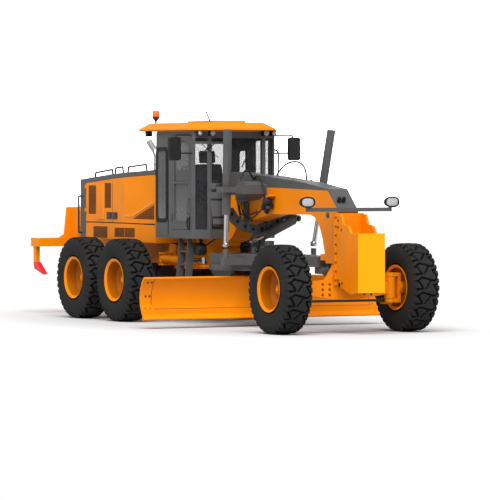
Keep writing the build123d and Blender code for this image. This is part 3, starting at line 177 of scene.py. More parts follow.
# distance from the object's origin, with each axis scaled first
def scaled_distance(material, scale):
    kind = "ShaderNodeVectorMath"
    squeeze = add_node(material, kind, {0: place_on(material), 1: scale}, "MULTIPLY")
    return add_node(material, kind, {0: squeeze.outputs["Vector"]}, "LENGTH").outputs["Value"]


# mixes a second colour into a coat by a share; own is the socket that keeps the coat's colour
def blend_coat(material, share, own, colour, blend="MIX"):
    shader = shader_of(material)
    coat = shader.inputs["Base Color"].links[0].from_socket
    other = "Color1" if own == "Color2" else "Color2"
    mix = add_node(material, "ShaderNodeMixRGB", {"Fac": share, own: coat, other: (*colour, 1.0)})
    mix.blend_type = blend
    feed(shader, {"Base Color": mix.outputs["Color"]})


# ahead of front_x the coat has another colour
def two_shades(name, material, front_x, colour):
    copy = material.copy()
    copy.name = name
    blend_coat(copy, along_axis(copy, "X", ("GREATER_THAN", front_x)), "Color1", colour)
    return copy


# painted shade: a band of the coat round the axle, half wide each way from the middle, is darker by
# factor
def shade_rim_well(name, material, middle, half, factor):
    copy = material.copy()
    copy.name = name
    inside = along_axis(copy, "Y", ("ABSOLUTE", 0.0), ("SUBTRACT", middle),
                        ("ABSOLUTE", 0.0), ("LESS_THAN", half))
    blend_coat(copy, inside, "Color1", (factor, factor, factor), "MULTIPLY")
    return copy


# painted shade: the floor of the tread's grooves is darker than the blocks and the side walls
def shade_tread_grooves(material, floor, crown, half, colour):
    span = add_node(material, "ShaderNodeMapRange", {
        "Value": scaled_distance(material, (1.0, 0.0, 1.0)), "From Min": floor, "From Max": crown})
    wall = along_axis(material, "Y", ("ABSOLUTE", 0.0), ("GREATER_THAN", half))
    lit = add_node(material, "ShaderNodeMath", {0: span.outputs["Result"], 1: wall}, "MAXIMUM")
    blend_coat(material, lit.outputs["Value"], "Color2", colour)


# painted shadow: the floor's colour darkens a little under and close to the machine
def floor_with_painted_shadow(half_length=5.6, half_width=2.5):
    grey_white = (0.66, 0.66, 0.66)
    material = surface("floor_with_painted_shadow", grey_white, 0.9, change=0.01, grain=4.0, patch=0.3, gleam=0.0)
    distance = scaled_distance(material, (1 / half_length, 1 / half_width, 0.0))
    fade = add_node(material, "ShaderNodeMapRange", {
        "Value": distance, "From Min": 0.75, "From Max": 1.25, "To Min": 0.78, "To Max": 1.0})
    blend_coat(material, fade.outputs["Result"], "Color2", (0.0, 0.0, 0.0))
    return material


ORANGE = (0.78, 0.218, 0.0008)
AMBER = (0.8, 0.345, 0.0004)
GREY = (0.066, 0.066, 0.067)
CAB_GREY = (0.08, 0.08, 0.081)
NEAR_BLACK = (0.03, 0.031, 0.034)
RUBBER = (0.021, 0.0208, 0.0206)
GROOVE_SHADE = (0.0035, 0.0035, 0.0035)

orange = surface("orange_coat", ORANGE, 0.38, change=0.05, grain=55.0, bump=0.015, gleam=0.15)
grey = surface("grey_coat", GREY, 0.48, change=0.1, grain=60.0, bump=0.03)
cab_grey = surface("cab_grey_coat", CAB_GREY, 0.45, change=0.08, grain=60.0, bump=0.03)
dark = surface("dark_coat", NEAR_BLACK, 0.5, change=0.15, grain=60.0, bump=0.03)
black = surface("black_plastic", (0.012, 0.012, 0.013), 0.55, change=0.2, grain=160.0, bump=0.08)
seal = surface("black_seal", (0.008, 0.008, 0.009), 0.65, change=0.2, grain=90.0, bump=0.05)
tyre_black = surface("tyre_rubber", RUBBER, 0.85, change=0.15, grain=150.0, bump=0.12, gleam=0.12)
chrome = surface("polished_rod", (0.5, 0.5, 0.51), 0.22, metallic=1.0, change=0.05, grain=90.0)
steel = surface("worn_steel", (0.42, 0.42, 0.42), 0.38, metallic=0.9, change=0.15, grain=70.0,
                bump=0.04)
stack = surface("bright_stack", (0.8, 0.8, 0.8), 0.28, metallic=0.9, change=0.1)
iron = surface("engine_iron", (0.045, 0.045, 0.047), 0.7, change=0.25, grain=80.0, bump=0.3)
# painted shade: dark sheets in the louvres' gaps
louvre_shade = surface("louvre_gap_shade", (0.1, 0.028, 0.002), 0.6, change=0.15, grain=120.0, bump=0.1)
bolt_steel = surface("painted_bolt", (0.16, 0.05, 0.004), 0.5, change=0.2, grain=90.0)
# painted highlight: a paler strip on the folds of the hood's flanks
crease_highlight = surface("painted_crease_highlight", (0.72, 0.28, 0.06), 0.4, change=0.05)
red = surface("red_coat", (0.62, 0.008, 0.012), 0.4, change=0.1, coat=0.2)
cloth = surface("seat_cloth", NEAR_BLACK, 0.9, change=0.2, grain=400.0, bump=0.4)
lens = surface("clear_lens", (0.4, 0.41, 0.42), 0.15, change=0.08, grain=30.0, coat=0.6)
amber = surface("amber_lens", (0.95, 0.16, 0.01), 0.25, change=0.1, grain=30.0, coat=0.6)
red_lens = surface("red_lens", (0.5, 0.01, 0.01), 0.25, change=0.1, grain=30.0, coat=0.6)
glass = pane("cab_glazing", (0.04, 0.042, 0.044), 0.32)
door_pane = pane("door_glazing", (0.11, 0.112, 0.115), 0.82)
screen = surface("orange_screen", (0.17, 0.048, 0.001), 0.6, change=0.1, grain=120.0, bump=0.05)

PLATE_X = 5.041
RIM_WELL_HALF = 0.178
WELL_SHADE = 0.5
GROOVE_FLOOR = 0.64
TREAD_TOP = 0.661
SIDE_WALL_Y = 0.188

# painted shade: the rims' coat is darker between their flanges, in the well
rim_coat = shade_rim_well("rim_coat", orange, WHEEL_Y, RIM_WELL_HALF, WELL_SHADE)
# painted shade: the floors of the tyres' grooves are darker
shade_tread_grooves(tyre_black, GROOVE_FLOOR, TREAD_TOP, SIDE_WALL_Y, GROOVE_SHADE)
block_coat = two_shades("block_coat", orange, PLATE_X, AMBER)


# Mesh helpers: a Maker gathers simple forms in real sizes and makes one piece of them

SMALLEST_RADIUS = 0.0002
BEND_STEPS = 6
BEVEL_ANGLE = radians(40)


def at(x, y, z):
    return Vector((x + AHEAD, y, z))


def across(axis, a, b, c):
    return at(c, a, b) if axis == "x" else at(a, c, b)


class Maker:
    def __init__(self):
        self.verts = []
        self.faces = []

    def add(self, verts, faces):
        base = len(self.verts)
        self.verts += [Vector(v) for v in verts]
        self.faces += [tuple(base + i for i in f) for f in faces]

    def box(self, x0, x1, y0, y1, z0, z1):
        corners = [(x, y, z) for x in (x0, x1) for y in (y0, y1) for z in (z0, z1)]
        faces = [(0, 1, 3, 2), (4, 6, 7, 5), (0, 4, 5, 1), (2, 3, 7, 6), (0, 2, 6, 4), (1, 5, 7, 3)]
        self.add([at(*c) for c in corners], faces)

    # flat outline across "x" or "y" with a thickness, each point in the two axes that stay
    def slab(self, points, axis, low, high):
        n = len(points)
        verts = [across(axis, a, b, c) for c in (low, high) for a, b in points]
        faces = [tuple(range(n))[::-1], tuple(range(n, 2 * n))]
        faces += [(i, (i + 1) % n, (i + 1) % n + n, i + n) for i in range(n)]
        self.add(verts, faces)

    # flat band between two outlines with as many points
    def band(self, outer, inner, axis, low, high):
        n = len(outer)
        verts = [across(axis, a, b, c) for c in (low, high) for a, b in outer + inner]
        faces = []
        for i in range(n):
            j = (i + 1) % n
            faces.append((i, j, n + j, n + i))
            faces.append((2 * n + i, 3 * n + i, 3 * n + j, 2 * n + j))
            faces.append((i, 2 * n + i, 2 * n + j, j))
            faces.append((n + i, n + j, 3 * n + j, 3 * n + i))
        self.add(verts, faces)

    def rings(self, rings, closed_ends=True):
        n = len(rings[0])
        faces = []
        for r in range(len(rings) - 1):
            for i in range(n):
                j = (i + 1) % n
                faces.append((r * n + i, r * n + j, (r + 1) * n + j, (r + 1) * n + i))
        if closed_ends:
            faces.append(tuple(range(n))[::-1])
            faces.append(tuple((len(rings) - 1) * n + i for i in range(n)))
        self.add([v for ring in rings for v in ring], faces)

    # turned form: profile pairs are the distance along the axis and the radius
    def turned(self, centre, direction, profile, sides=32):
        direction = Vector(direction).normalized()
        side = direction.orthogonal().normalized()
        other = direction.cross(side)
        rings = []
        for along, radius in profile:
            middle = at(*centre) + direction * along
            radius = max(radius, SMALLEST_RADIUS)
            rings.append([middle + (side * cos(a) + other * sin(a)) * radius
                          for a in turns(sides)])
        self.rings(rings)

    def rod(self, start, end, radius, sides=20):
        start = Vector(start)
        run = Vector(end) - start
        self.turned(start, run, [(0, radius), (run.length, radius)], sides)

    # tube through given points with rounded bends
    def tube(self, points, radius, bend=0.05, sides=12):
        points = [Vector(p) for p in points]
        path = [points[0]]
        for before, here, after in zip(points, points[1:], points[2:]):
            reach = min(bend, (here - before).length / 2, (after - here).length / 2)
            start = here + (before - here).normalized() * reach
            end = here + (after - here).normalized() * reach
            for step in range(BEND_STEPS + 1):
                t = step / BEND_STEPS
                path.append(start * (1 - t) ** 2 + here * 2 * t * (1 - t) + end * t * t)
        path.append(points[-1])
        rings = []
        side = (path[1] - path[0]).orthogonal().normalized()
        for i, point in enumerate(path):
            run = (path[min(i + 1, len(path) - 1)] - path[max(i - 1, 0)]).normalized()
            side = (side - run * side.dot(run)).normalized()
            other = run.cross(side)
            rings.append([at(*point) + (side * cos(a) + other * sin(a)) * radius
                          for a in turns(sides)])
        self.rings(rings)

    # a bolt head with its washer, standing out along direction
    def bolt(self, centre, direction, size=0.014, height=0.01):
        washer = size * 1.25
        self.turned(centre, direction, [(-0.002, washer), (0.003, washer)], 16)
        head = [(0.003, size), (height * 0.8, size), (height, size * 0.8)]
        self.turned(centre, direction, head, 6)

    def mirrored(self):
        base = len(self.verts)
        self.verts += [Vector((v.x, -v.y, v.z)) for v in self.verts[:base]]
        self.faces += [tuple(base + i for i in f)[::-1] for f in list(self.faces)]
        return self

    # keeps a form drawn for the left side, or moves it to the right one
    def to_side(self, sign):
        if sign < 0:
            self.verts = [Vector((v.x, -v.y, v.z)) for v in self.verts]
            self.faces = [f[::-1] for f in self.faces]
        return self

    def make(self, name, material, body="front_frame", bevel=0.0, smooth=40):
        piece = new_object(name, new_mesh(name, self.verts, self.faces, material, smooth))
        if bevel:
            add_bevel(piece, bevel)
        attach(piece, body)
        return piece


def add_bevel(piece, width):
    bevel = piece.modifiers.new("edges", "BEVEL")
    bevel.width = width
    bevel.segments = 2
    bevel.limit_method = "ANGLE"
    bevel.angle_limit = BEVEL_ANGLE
    bevel.harden_normals = True


# rectangle from a0 to a1 and b0 to b1 with rounded corners
def rounded(a0, a1, b0, b1, radius, steps=5):
    corners = ((a1 - radius, b1 - radius, 0), (a0 + radius, b1 - radius, 90),
               (a0 + radius, b0 + radius, 180), (a1 - radius, b0 + radius, 270))
    points = []
    for ca, cb, start in corners:
        for k in range(steps + 1):
            t = radians(start + 90 * k / steps)
            points.append((ca + radius * cos(t), cb + radius * sin(t)))
    return points


# round outline of half size 1 that gets squarer with its power
def squircle(sides, power):
    points = []
    for a in turns(sides):
        c, s = cos(a), sin(a)
        stretch = (abs(c) ** power + abs(s) ** power) ** (-1 / power)
        points.append((c * stretch, s * stretch))
    return points


# Camera, floor and light

CAMERA_AZIMUTH = 62.175
CAMERA_ELEVATION = 1.305
CAMERA_DISTANCE = 60.53
CAMERA_TARGET = (2.862 + AHEAD, 0, 1.185)
CAMERA_LENS_MM = 274.8
FLOOR_RADIUS = 180
FLOOR_SIDES = 72
FLOOR_DROP = 0.003
WALL_HEIGHT = 60
# only the stretch of the round wall behind the machine, as the photograph sees it
WALL_SIDES = range(26, 35)
SUN_WAY = (0.5, -0.33, 0.8)
SUN_ENERGY = 4.9
SUN_SPREAD = 60
SKY_STRENGTH = 0.3


def make_camera():
    azimuth = radians(CAMERA_AZIMUTH)
    elevation = radians(CAMERA_ELEVATION)
    back = Vector((sin(azimuth) * cos(elevation),
                   -cos(azimuth) * cos(elevation), sin(elevation)))
    data = bpy.data.cameras.new("camera")
    data.lens = CAMERA_LENS_MM
    data.sensor_width = 36
    data.clip_end = 300
    camera = new_object("camera", data)
    camera.location = Vector(CAMERA_TARGET) + back * CAMERA_DISTANCE
    camera.rotation_euler = (-back).to_track_quat("-Z", "Y").to_euler()
    bpy.context.scene.camera = camera
    bpy.context.scene.view_settings.view_transform = "Standard"


def make_studio():
    rim = [(FLOOR_RADIUS * cos(a), FLOOR_RADIUS * sin(a)) for a in turns(FLOOR_SIDES)]
    verts = [(x, y, z) for z in (0, WALL_HEIGHT) for x, y in rim]
    ground = new_mesh("floor", verts[:FLOOR_SIDES], [tuple(range(FLOOR_SIDES))], floor_with_painted_shadow())
    faces = [(k, k + 1, k + 1 + FLOOR_SIDES, k + FLOOR_SIDES) for k in WALL_SIDES]
    wall = new_mesh("backdrop", verts, faces, glow("white_backdrop", 1.0))
    for mesh in (ground, wall):
        stand = new_object(mesh.name, mesh)
        stand.location.z = -FLOOR_DROP
    world = bpy.data.worlds.new("studio")
    world.use_nodes = True
    sky = world.node_tree.nodes["Background"]
    sky.inputs["Color"].default_value = (1.0, 1.0, 1.0, 1.0)
    sky.inputs["Strength"].default_value = SKY_STRENGTH
    bpy.context.scene.world = world
    data = bpy.data.lights.new("sky", "SUN")
    data.energy = SUN_ENERGY
    data.angle = radians(SUN_SPREAD)
    lamp = new_object("sky", data)
    lamp.rotation_euler = Vector(SUN_WAY).to_track_quat("Z", "Y").to_euler()


make_camera()
make_studio()


# CAD nodes keep their shape and get their finish and soft edges.
# Rows of material, bevel, nodes for the whole machine and nodes with a left and a right one.

FINISH = (
    (orange, 0.002, (), ("articulation_barrel",)),
    (orange, 0.003, ("moldboard", "ripper_barrel"), ()),
    (orange, 0.004, ("ripper_lower_links", "ripper_upper_links"), ("knuckle",)),
    (orange, 0.006, ("rear_frame", "hood_panels", "front_frame"), ("hood_door",)),
    (orange, 0.008, ("front_axle", "ripper"), ()),
    (orange, 0.012, ("cab_roof",), ()),
    (block_coat, 0.004, ("push_block",), ()),
    (rim_coat, 0.004, (), ("rear_rim", "middle_rim", "front_rim")),
    (cab_grey, 0.0, ("light_bar", "drawbar_ball"), ()),
    (cab_grey, 0.002, (), ("lift_barrel",)),
    (cab_grey, 0.003, ("ladders", "centre_shift_barrel"), ()),
    (cab_grey, 0.004, ("circle",), ()),
    (cab_grey, 0.005, ("blade_carrier",), ()),
    (cab_grey, 0.006, ("lift_arms", "drawbar"), ("cab_door",)),
    (cab_grey, 0.008, ("cab_shell",), ()),
    (cab_grey, 0.01, ("hood_cowl", "frame_cover"), ()),
    (grey, 0.0, ("tie_rod",), ()),
    (dark, 0.012, ("rear_axle",), ()),
    (black, 0.0, ("mirrors",), ()),
    (iron, 0.01, ("engine_block",), ()),
    (cloth, 0.012, ("cab_interior",), ()),
    (red, 0.006, ("ripper_teeth",), ()),
    (stack, 0.0, ("exhaust_stack",), ()),
    (chrome, 0.0, ("centre_shift_rod", "ripper_rod"), ("lift_rod", "articulation_rod")),
    (glass, 0.0, ("cab_glass", "cab_door_glass_left"), ()),
    (door_pane, 0.0, ("cab_door_glass_right",), ()),
)


def finish_nodes():
    for material, bevel, single, paired in FINISH:
        for name in single + tuple(f"{name}_{side}" for name in paired for side, sign in SIDES):
            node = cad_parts[name]
            if not node.material_slots:
                node.data.materials.append(material)
            for holder in node.material_slots:
                holder.material = material
            if bevel:
                add_bevel(node, bevel)


finish_nodes()


# Tyres: one turned casing with a lattice of diagonal grooves across the tread

# half of the section as distance from the middle plane and radius, from the bead to the crown
TYRE_PROFILE = (
    (-0.165, 0.352), (-0.196, 0.372), (-0.214, 0.42), (-0.2215, 0.48), (-0.2205, 0.54),
    (-0.213, 0.59), (-0.203, 0.628), (-0.196, 0.65), (-0.186, 0.662), (-0.16, 0.667),
    (-0.125, 0.669), (-0.09, 0.6705), (-0.055, 0.6715), (-0.02, 0.672))
PROFILE_END = (-0.007, 0.672)
FINE_FROM = 0.62
FINE_STEP = 0.008
PITCHES = 18
PITCH_STEPS = 26
MIDDLE_PHASE = radians(7.0)
TREAD_HALF = 0.2
GROOVE_HALF = 0.0115
GROOVE_DEPTH = 0.034
GROOVE_EDGE = 0.004
# from this radius on the grooves get deeper, and at the shoulder they are wider by a share
GROOVE_FROM = 0.575
GROOVE_FADE = 0.03
SHOULDER_Y = 0.155
SHOULDER_RUN = 0.04
SHOULDER_WIDER = 0.8
# grooves of one pitch: both ends as the share of the tread's half width and of a pitch round it
GROOVES = (
    ((-0.84, 0.0), (-0.46, 0.52)),
    ((-0.84, 0.0), (-0.53, -0.22)),
    ((-0.53, -0.22), (0.53, 0.02)),
    ((0.53, 0.02), (0.84, -0.2)),
    ((0.84, -0.2), (0.46, -0.72)),
    ((-0.22, 0.52), (0.18, 0.06)),
    ((-1.15, 0.12), (-0.84, 0.0)),
    ((0.84, -0.2), (1.15, -0.32)),
    ((-1.15, 0.6), (-0.46, 0.52)),
    ((0.46, -0.72), (1.15, -0.8)),
)


def to_segment(px, py, ax, ay, bx, by):
    run = (bx - ax) ** 2 + (by - ay) ** 2
    share = clamp(((px - ax) * (bx - ax) + (py - ay) * (by - ay)) / run)
    return hypot(px - ax - share * (bx - ax), py - ay - share * (by - ay))


def tyre_profile():
    half = []
    for (y0, r0), (y1, r1) in zip(TYRE_PROFILE, TYRE_PROFILE[1:]):
        steps = max(1, round((y1 - y0) / FINE_STEP)) if r0 > FINE_FROM else 2
        for k in range(steps):
            t = k / steps
            half.append((y0 + (y1 - y0) * t, r0 + (r1 - r0) * t))
    half.append(PROFILE_END)
    return half + [(-y, r) for y, r in reversed(half)]


# depth of the grooves over one pitch, for each step round it and each point of the profile
def groove_cuts(profile):
    pitch = 2 * pi * TYRE_RADIUS / PITCHES
    lines = [(a[0] * TREAD_HALF, (a[1] + turn) * pitch, b[0] * TREAD_HALF, (b[1] + turn) * pitch)
             for a, b in GROOVES for turn in (-1, 0, 1, 2)]
    cuts = []
    for k in range(PITCH_STEPS):
        around = k / PITCH_STEPS * pitch
        row = []
        for y, r in profile:
            cut = 0.0
            if r > GROOVE_FROM:
                nearest = min(to_segment(y, around, *line) for line in lines)
                shoulder = clamp((abs(y) - SHOULDER_Y) / SHOULDER_RUN)
                half = GROOVE_HALF * (1 + SHOULDER_WIDER * shoulder)
                edge = clamp((nearest - half) / GROOVE_EDGE)
                cut = GROOVE_DEPTH * (1 - edge) * clamp((r - GROOVE_FROM) / GROOVE_FADE)
            row.append(cut)
        cuts.append(row)
    return cuts


def tyre_mesh(profile, cuts, phase):
    around = PITCHES * PITCH_STEPS
    count = len(profile)
    verts = []
    for i, angle in enumerate(turns(around)):
        turned = angle + phase
        for (y, r), cut in zip(profile, cuts[i % PITCH_STEPS]):
            verts.append(((r - cut) * sin(turned), y, (r - cut) * cos(turned)))
    faces = []
    for i in range(around):
        j = (i + 1) % around
        for k in range(count - 1):
            faces.append((i * count + k, i * count + k + 1, j * count + k + 1, j * count + k))
    # inner skin, so that the casing is closed towards the rim
    for i in range(around):
        j = (i + 1) % around
        faces.append((i * count, j * count, j * count + count - 1, i * count + count - 1))
    return new_mesh("tyre", verts, faces, tyre_black, 30)


def make_tyres():
    profile = tyre_profile()
    cuts = groove_cuts(profile)
    shape = tyre_mesh(profile, cuts, 0.0)
    turned = tyre_mesh(profile, cuts, MIDDLE_PHASE)
    for row, side, x, sign in WHEELS:
        piece = new_object(f"tyre_{row}_{side}", turned if row == "middle" else shape)
        piece.location = at(x, sign * WHEEL_Y, TYRE_RADIUS)
        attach(piece, f"{row}_wheel_{side}")
        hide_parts(f"{row}_tyre_{side}")


make_tyres()


# Wheel fittings: rings of bolts, the hub's cap, its seal, the rim's seams and the valve

HUB_BOLTS = 12
HUB_CIRCLE = 0.128
HUB_FACE = -0.036
CAP_BOLTS = 6
CAP_CIRCLE = 0.058
CAP_FACE = 0.044
CAP_PROFILE = [(0, 0.04), (0.01, 0.04), (0.016, 0.034), (0.018, 0.02)]
SEAL_PROFILE = [(0, 0.152), (0.006, 0.156), (0.0085, 0.15)]
SEAM_SIDES = 48
# radius of each seam and its distance out from the wheel's middle plane, then its section
SEAMS = ((0.3365, 0.1812), (0.314, 0.1725))
SEAM_SECTION = ((-0.004, -0.0035), (0.0025, -0.0035), (0.0025, 0.0015), (-0.004, 0.0015))
VALVE = ((0.2, -0.055), (0.205, -0.02), (0.212, 0.04))


def make_wheel_fittings():
    for row, side, x, sign in WHEELS:
        body = f"{row}_wheel_{side}"
        way = (0, sign, 0)

        def spot(out, radius, angle):
            return (x + radius * cos(angle), sign * (WHEEL_Y + out),
                    TYRE_RADIUS + radius * sin(angle))
        bolts = Maker()
        for a in turns(HUB_BOLTS, 0.5):
            bolts.bolt(spot(HUB_FACE, HUB_CIRCLE, a), way, 0.013, 0.016)
        for a in turns(CAP_BOLTS):
            bolts.bolt(spot(CAP_FACE, CAP_CIRCLE, a), way, 0.007, 0.008)
        bolts.turned(spot(CAP_FACE - 0.001, 0, 0), way, CAP_PROFILE, 28)
        bolts.make(f"wheel_bolts_{row}_{side}", orange, body)
        ring = Maker()
        ring.turned(spot(-0.043, 0, 0), way, SEAL_PROFILE, 40)
        ring.make(f"wheel_seal_{row}_{side}", seal, body)
        seams = Maker()
        for radius, out in SEAMS:
            loops = [[at(*spot(out + along, radius + up, a)) for a in turns(SEAM_SIDES)]
                     for along, up in SEAM_SECTION]
            seams.rings(loops + loops[:1], closed_ends=False)
        seams.make(f"rim_seams_{row}_{side}", seal, body)
        valve = Maker()
        valve.tube([(x + reach, sign * (WHEEL_Y + out), TYRE_RADIUS + reach)
                    for reach, out in VALVE], 0.005, 0.02, 8)
        valve.make(f"wheel_valve_{row}_{side}", steel, body)


make_wheel_fittings()


# Hood: painted shade in the louvres, woven screens, seams, latches, rail sleeves, grille and lamps

SCREEN_PITCH = 0.012
WIRE_HALF = 0.0024
# louvred fields in the flank: x from and to, z from and to, and the number of slats
DOOR_FIELDS = ((-1.319, -1.034, 1.715, 2.192, 13), (-0.7, -0.46, 1.821, 2.233, 11))
PANEL_FIELDS = ((-1.135, -0.598, 1.325, 1.513, 5), (-0.324, 0.04, 1.346, 1.5, 4))
SLAT_HEIGHT = 0.0252
SEAM_SKIN = (-0.001, 0.0015)
LATCH_SKIN = (-0.003, 0.0165)
CATCH_SKIN = (0.016, 0.026)
KNOB_SKIN = (0.026, 0.031)
# the flank tapers from here to the cab
TAPER_X = 0.05
TAPER = 0.15 / 0.83
# the louvred wedge in the taper rises by this much over this run
WEDGE_RUN = 0.591
WEDGE_RISE = 0.24
# hand rails on the hood's roof and at its rear corner
RAILS = (
    [(-1.35, 0.615, 2.315), (-1.325, 0.615, 2.402), (-0.69, 0.615, 2.455), (-0.665, 0.615, 2.367)],
    [(-0.58, 0.615, 2.376), (-0.555, 0.615, 2.482), (-0.295, 0.615, 2.5), (-0.27, 0.615, 2.398)],
    [(-0.1, 0.615, 2.408), (-0.075, 0.615, 2.5), (0.575, 0.615, 2.54), (0.6, 0.615, 2.443)],
    [(-1.58, 0.752, 1.4), (-1.58, 0.812, 1.4), (-1.58, 0.812, 2.01), (-1.58, 0.752, 2.01)],
)


# Flat forms on the flank are rows of x from and to, z from and to, and how far their two
# faces stand out from the panel.

# painted shade: dark sheets in the gaps between the slats of the fields
def slat_gap_shades(fields):
    rows = []
    for x0, x1, z0, z1, count in fields:
        pitch = (z1 - z0) / count
        for k in range(count):
            low = z0 + k * pitch + 0.001
            rows.append((x0 + 0.001, x1 - 0.001, low, low + pitch - SLAT_HEIGHT - 0.002,
                         -0.0098, -0.004))
    return rows


# woven screens over the fields, one millimetre proud of the flank
def woven(fields):
    rows = []
    for x0, x1, z0, z1, _ in fields:
        for k in range(int((z1 - z0) / SCREEN_PITCH)):
            z = z0 + (k + 0.5) * SCREEN_PITCH
            rows.append((x0, x1, z - WIRE_HALF, z + WIRE_HALF, -0.0006, 0.001))
        for k in range(int((x1 - x0) / SCREEN_PITCH)):
            x = x0 + (k + 0.5) * SCREEN_PITCH
            rows.append((x - WIRE_HALF, x + WIRE_HALF, z0, z1, -0.0008, 0.0008))
    return rows


# name, material, on the door or the frame, bevel and the rows
FLANK_WORK = (
    ("door_louvres", louvre_shade, True, 0.0, slat_gap_shades(DOOR_FIELDS)),
    ("door_screens", screen, True, 0.0, woven(DOOR_FIELDS)),
    ("panel_screens", screen, False, 0.0, woven(PANEL_FIELDS)),
    ("door_seam", seal, True, 0.0, [(-1.425, -0.403, 1.572, 1.588, *SEAM_SKIN),
                                    (-0.409, -0.403, 1.592, 2.24, *SEAM_SKIN)]),
    ("door_latch", dark, True, 0.003, [(-0.602, -0.428, 1.643, 1.752, *LATCH_SKIN)]),
    ("door_catch", grey, True, 0.003, [(-0.56, -0.47, 1.668, 1.727, *CATCH_SKIN),
                                       (-0.535, -0.495, 1.68, 1.715, *KNOB_SKIN)]),
    ("panel_latch", dark, False, 0.003, [(-0.387, -0.223, 1.643, 1.752, *LATCH_SKIN)]),
    ("panel_catch", grey, False, 0.003, [(-0.345, -0.265, 1.668, 1.727, *CATCH_SKIN),
                                         (-0.325, -0.285, 1.68, 1.715, *KNOB_SKIN)]),
    ("panel_louvre", louvre_shade, False, 0.0, slat_gap_shades(PANEL_FIELDS)),
    ("panel_seam", seal, False, 0.0, [(-0.397, 0.048, 1.57, 1.586, *SEAM_SKIN)]),
)


def make_flank_work():
    for side, sign in SIDES:
        for name, material, on_door, bevel, rows in FLANK_WORK:
            maker = Maker()
            for x0, x1, z0, z1, low, high in rows:
                maker.box(x0, x1, HOOD_Y + low, HOOD_Y + high, z0, z1)
            body = f"hood_door_{side}" if on_door else "rear_frame"
            maker.to_side(sign).make(f"{name}_{side}", material, body, bevel)


# outline on the flank's outside, which follows its taper
def on_flank(maker, points, low, high):
    def place(x, out, z):
        return at(x, HOOD_Y - max(0.0, x - TAPER_X) * TAPER + out, z)
    n = len(points)
    verts = [place(x, out, z) for out in (low, high) for x, z in points]
    faces = [tuple(range(n)), tuple(range(n, 2 * n))[::-1]]
    faces += [(i, i + n, (i + 1) % n + n, (i + 1) % n) for i in range(n)]
    maker.add(verts, faces)


def quad_on_flank(maker, x0, x1, z0, z1, low, high):
    on_flank(maker, [(x0, z0), (x1, z0), (x1, z1), (x0, z1)], low, high)


def make_taper_work():
    wires = Maker()
    for z in even_steps(1.656, SCREEN_PITCH, 19):
        start = 0.262 + (z - 1.648) / WEDGE_RISE * WEDGE_RUN
        quad_on_flank(wires, start, 0.849, z - WIRE_HALF, z + WIRE_HALF, -0.0006, 0.001)
    for x in even_steps(0.282, SCREEN_PITCH, 47):
        top = 1.65 + (x - 0.262) / WEDGE_RUN * WEDGE_RISE
        quad_on_flank(wires, x - WIRE_HALF, x + WIRE_HALF, 1.651, top, -0.0008, 0.0008)
    for z in even_steps(1.354, SCREEN_PITCH, 12):
        quad_on_flank(wires, 0.053, 0.324, z - WIRE_HALF, z + WIRE_HALF, 0.0004, 0.0022)
    for x in even_steps(0.06, SCREEN_PITCH, 22):
        quad_on_flank(wires, x - WIRE_HALF, x + WIRE_HALF, 1.347, 1.499, 0.0002, 0.002)
    wires.mirrored().make("flank_screens", screen, "rear_frame")
    # painted shade: dark sheets in the gaps of the taper's louvres and one over its lower field
    gaps = Maker()
    for z in even_steps(1.645, 0.036, 6):
        start = 0.259 + (z + 0.036 - 1.65) / WEDGE_RISE * WEDGE_RUN
        quad_on_flank(gaps, start, 0.848, z + 0.003, z + 0.027, -0.0098, -0.0085)
    quad_on_flank(gaps, 0.052, 0.325, 1.346, 1.5, -0.001, 0.0006)
    gaps.mirrored().make("flank_louvres", louvre_shade, "rear_frame")
    # painted highlight: the fold along the taper is paler than the coat
    fold = Maker()
    on_flank(fold, [(0.06, 1.69), (0.263, 1.682), (0.85, 1.917),
                    (0.85, 1.943), (0.255, 1.706), (0.06, 1.712)], 0.0085, 0.0105)
    fold.mirrored().make("flank_creases", crease_highlight, "rear_frame", 0.004)
    line = Maker()
    on_flank(line, [(0.05, 1.57), (0.868, 1.555), (0.868, 1.571), (0.05, 1.586)], *SEAM_SKIN)
    line.mirrored().make("flank_seam", seal, "rear_frame")
    sleeves = Maker()
    for points in RAILS:
        sleeves.tube(points, 0.0155, 0.01, 12)
    sleeves.mirrored().make("hand_rail_sleeves", dark, "rear_frame")


def make_hood_rear():
    grille = Maker()
    grille.box(-1.579, -1.572, -0.57, 0.57, 1.42, 2.19)
    for low in even_steps(1.44, 0.0205, 36):
        grille.box(-1.584, -1.579, -0.552, 0.552, low, low + 0.009)
    grille.make("radiator_core", black, "rear_frame")
    lamps = Maker()
    housing = Maker()
    for y in (0.62, -0.62):
        housing.box(-1.655, -1.636, y - 0.075, y + 0.075, 1.4, 1.56)
        for z in (1.44, 1.52):
            lamps.turned((-1.655, y, z), (-1, 0, 0), [(0, 0.03), (0.012, 0.03), (0.018, 0.022)], 24)
    housing.make("rear_lamp_shells", black, "rear_frame", 0.004)
    lamps.make("rear_lamps", red_lens, "rear_frame")


make_flank_work()
make_taper_work()
make_hood_rear()


# Cab: window seals, handles, lamps, wipers, rails, aerial, beacon and mirrors

# lamps under the roof: x, y, half width and the way they face
WORK_LAMPS = ((2.65, 0.48, 0.045, 1), (2.57, 0.664, 0.038, 1), (0.72, 0.64, 0.045, -1))
LAMP_Z = 3.04
ROOF_EDGE = [(0.6, -0.74), (0.68, -0.8), (2.4, -0.8), (2.88, -0.54),
             (2.88, 0.54), (2.4, 0.8), (0.68, 0.8), (0.6, 0.74)]
ROOF_MIDDLE_X = 1.74
BEACON_X = 0.7
BEACON_Y = -0.5
BEACON_LENS = [(0, 0.057), (0.012, 0.0585), (0.095, 0.0585), (0.112, 0.05), (0.118, 0.03)]
BEACON_FOOT = [(0, 0.0155), (0.108, 0.0155), (0.12, 0.0225), (0.165, 0.0575), (0.176, 0.059),
               (0.19, 0.059)]
AERIAL_FOOT = (2.24, -0.3, 3.222)
AERIAL_TIP = (2.08, -0.3, 3.405)
UP = (0, 0, 1)


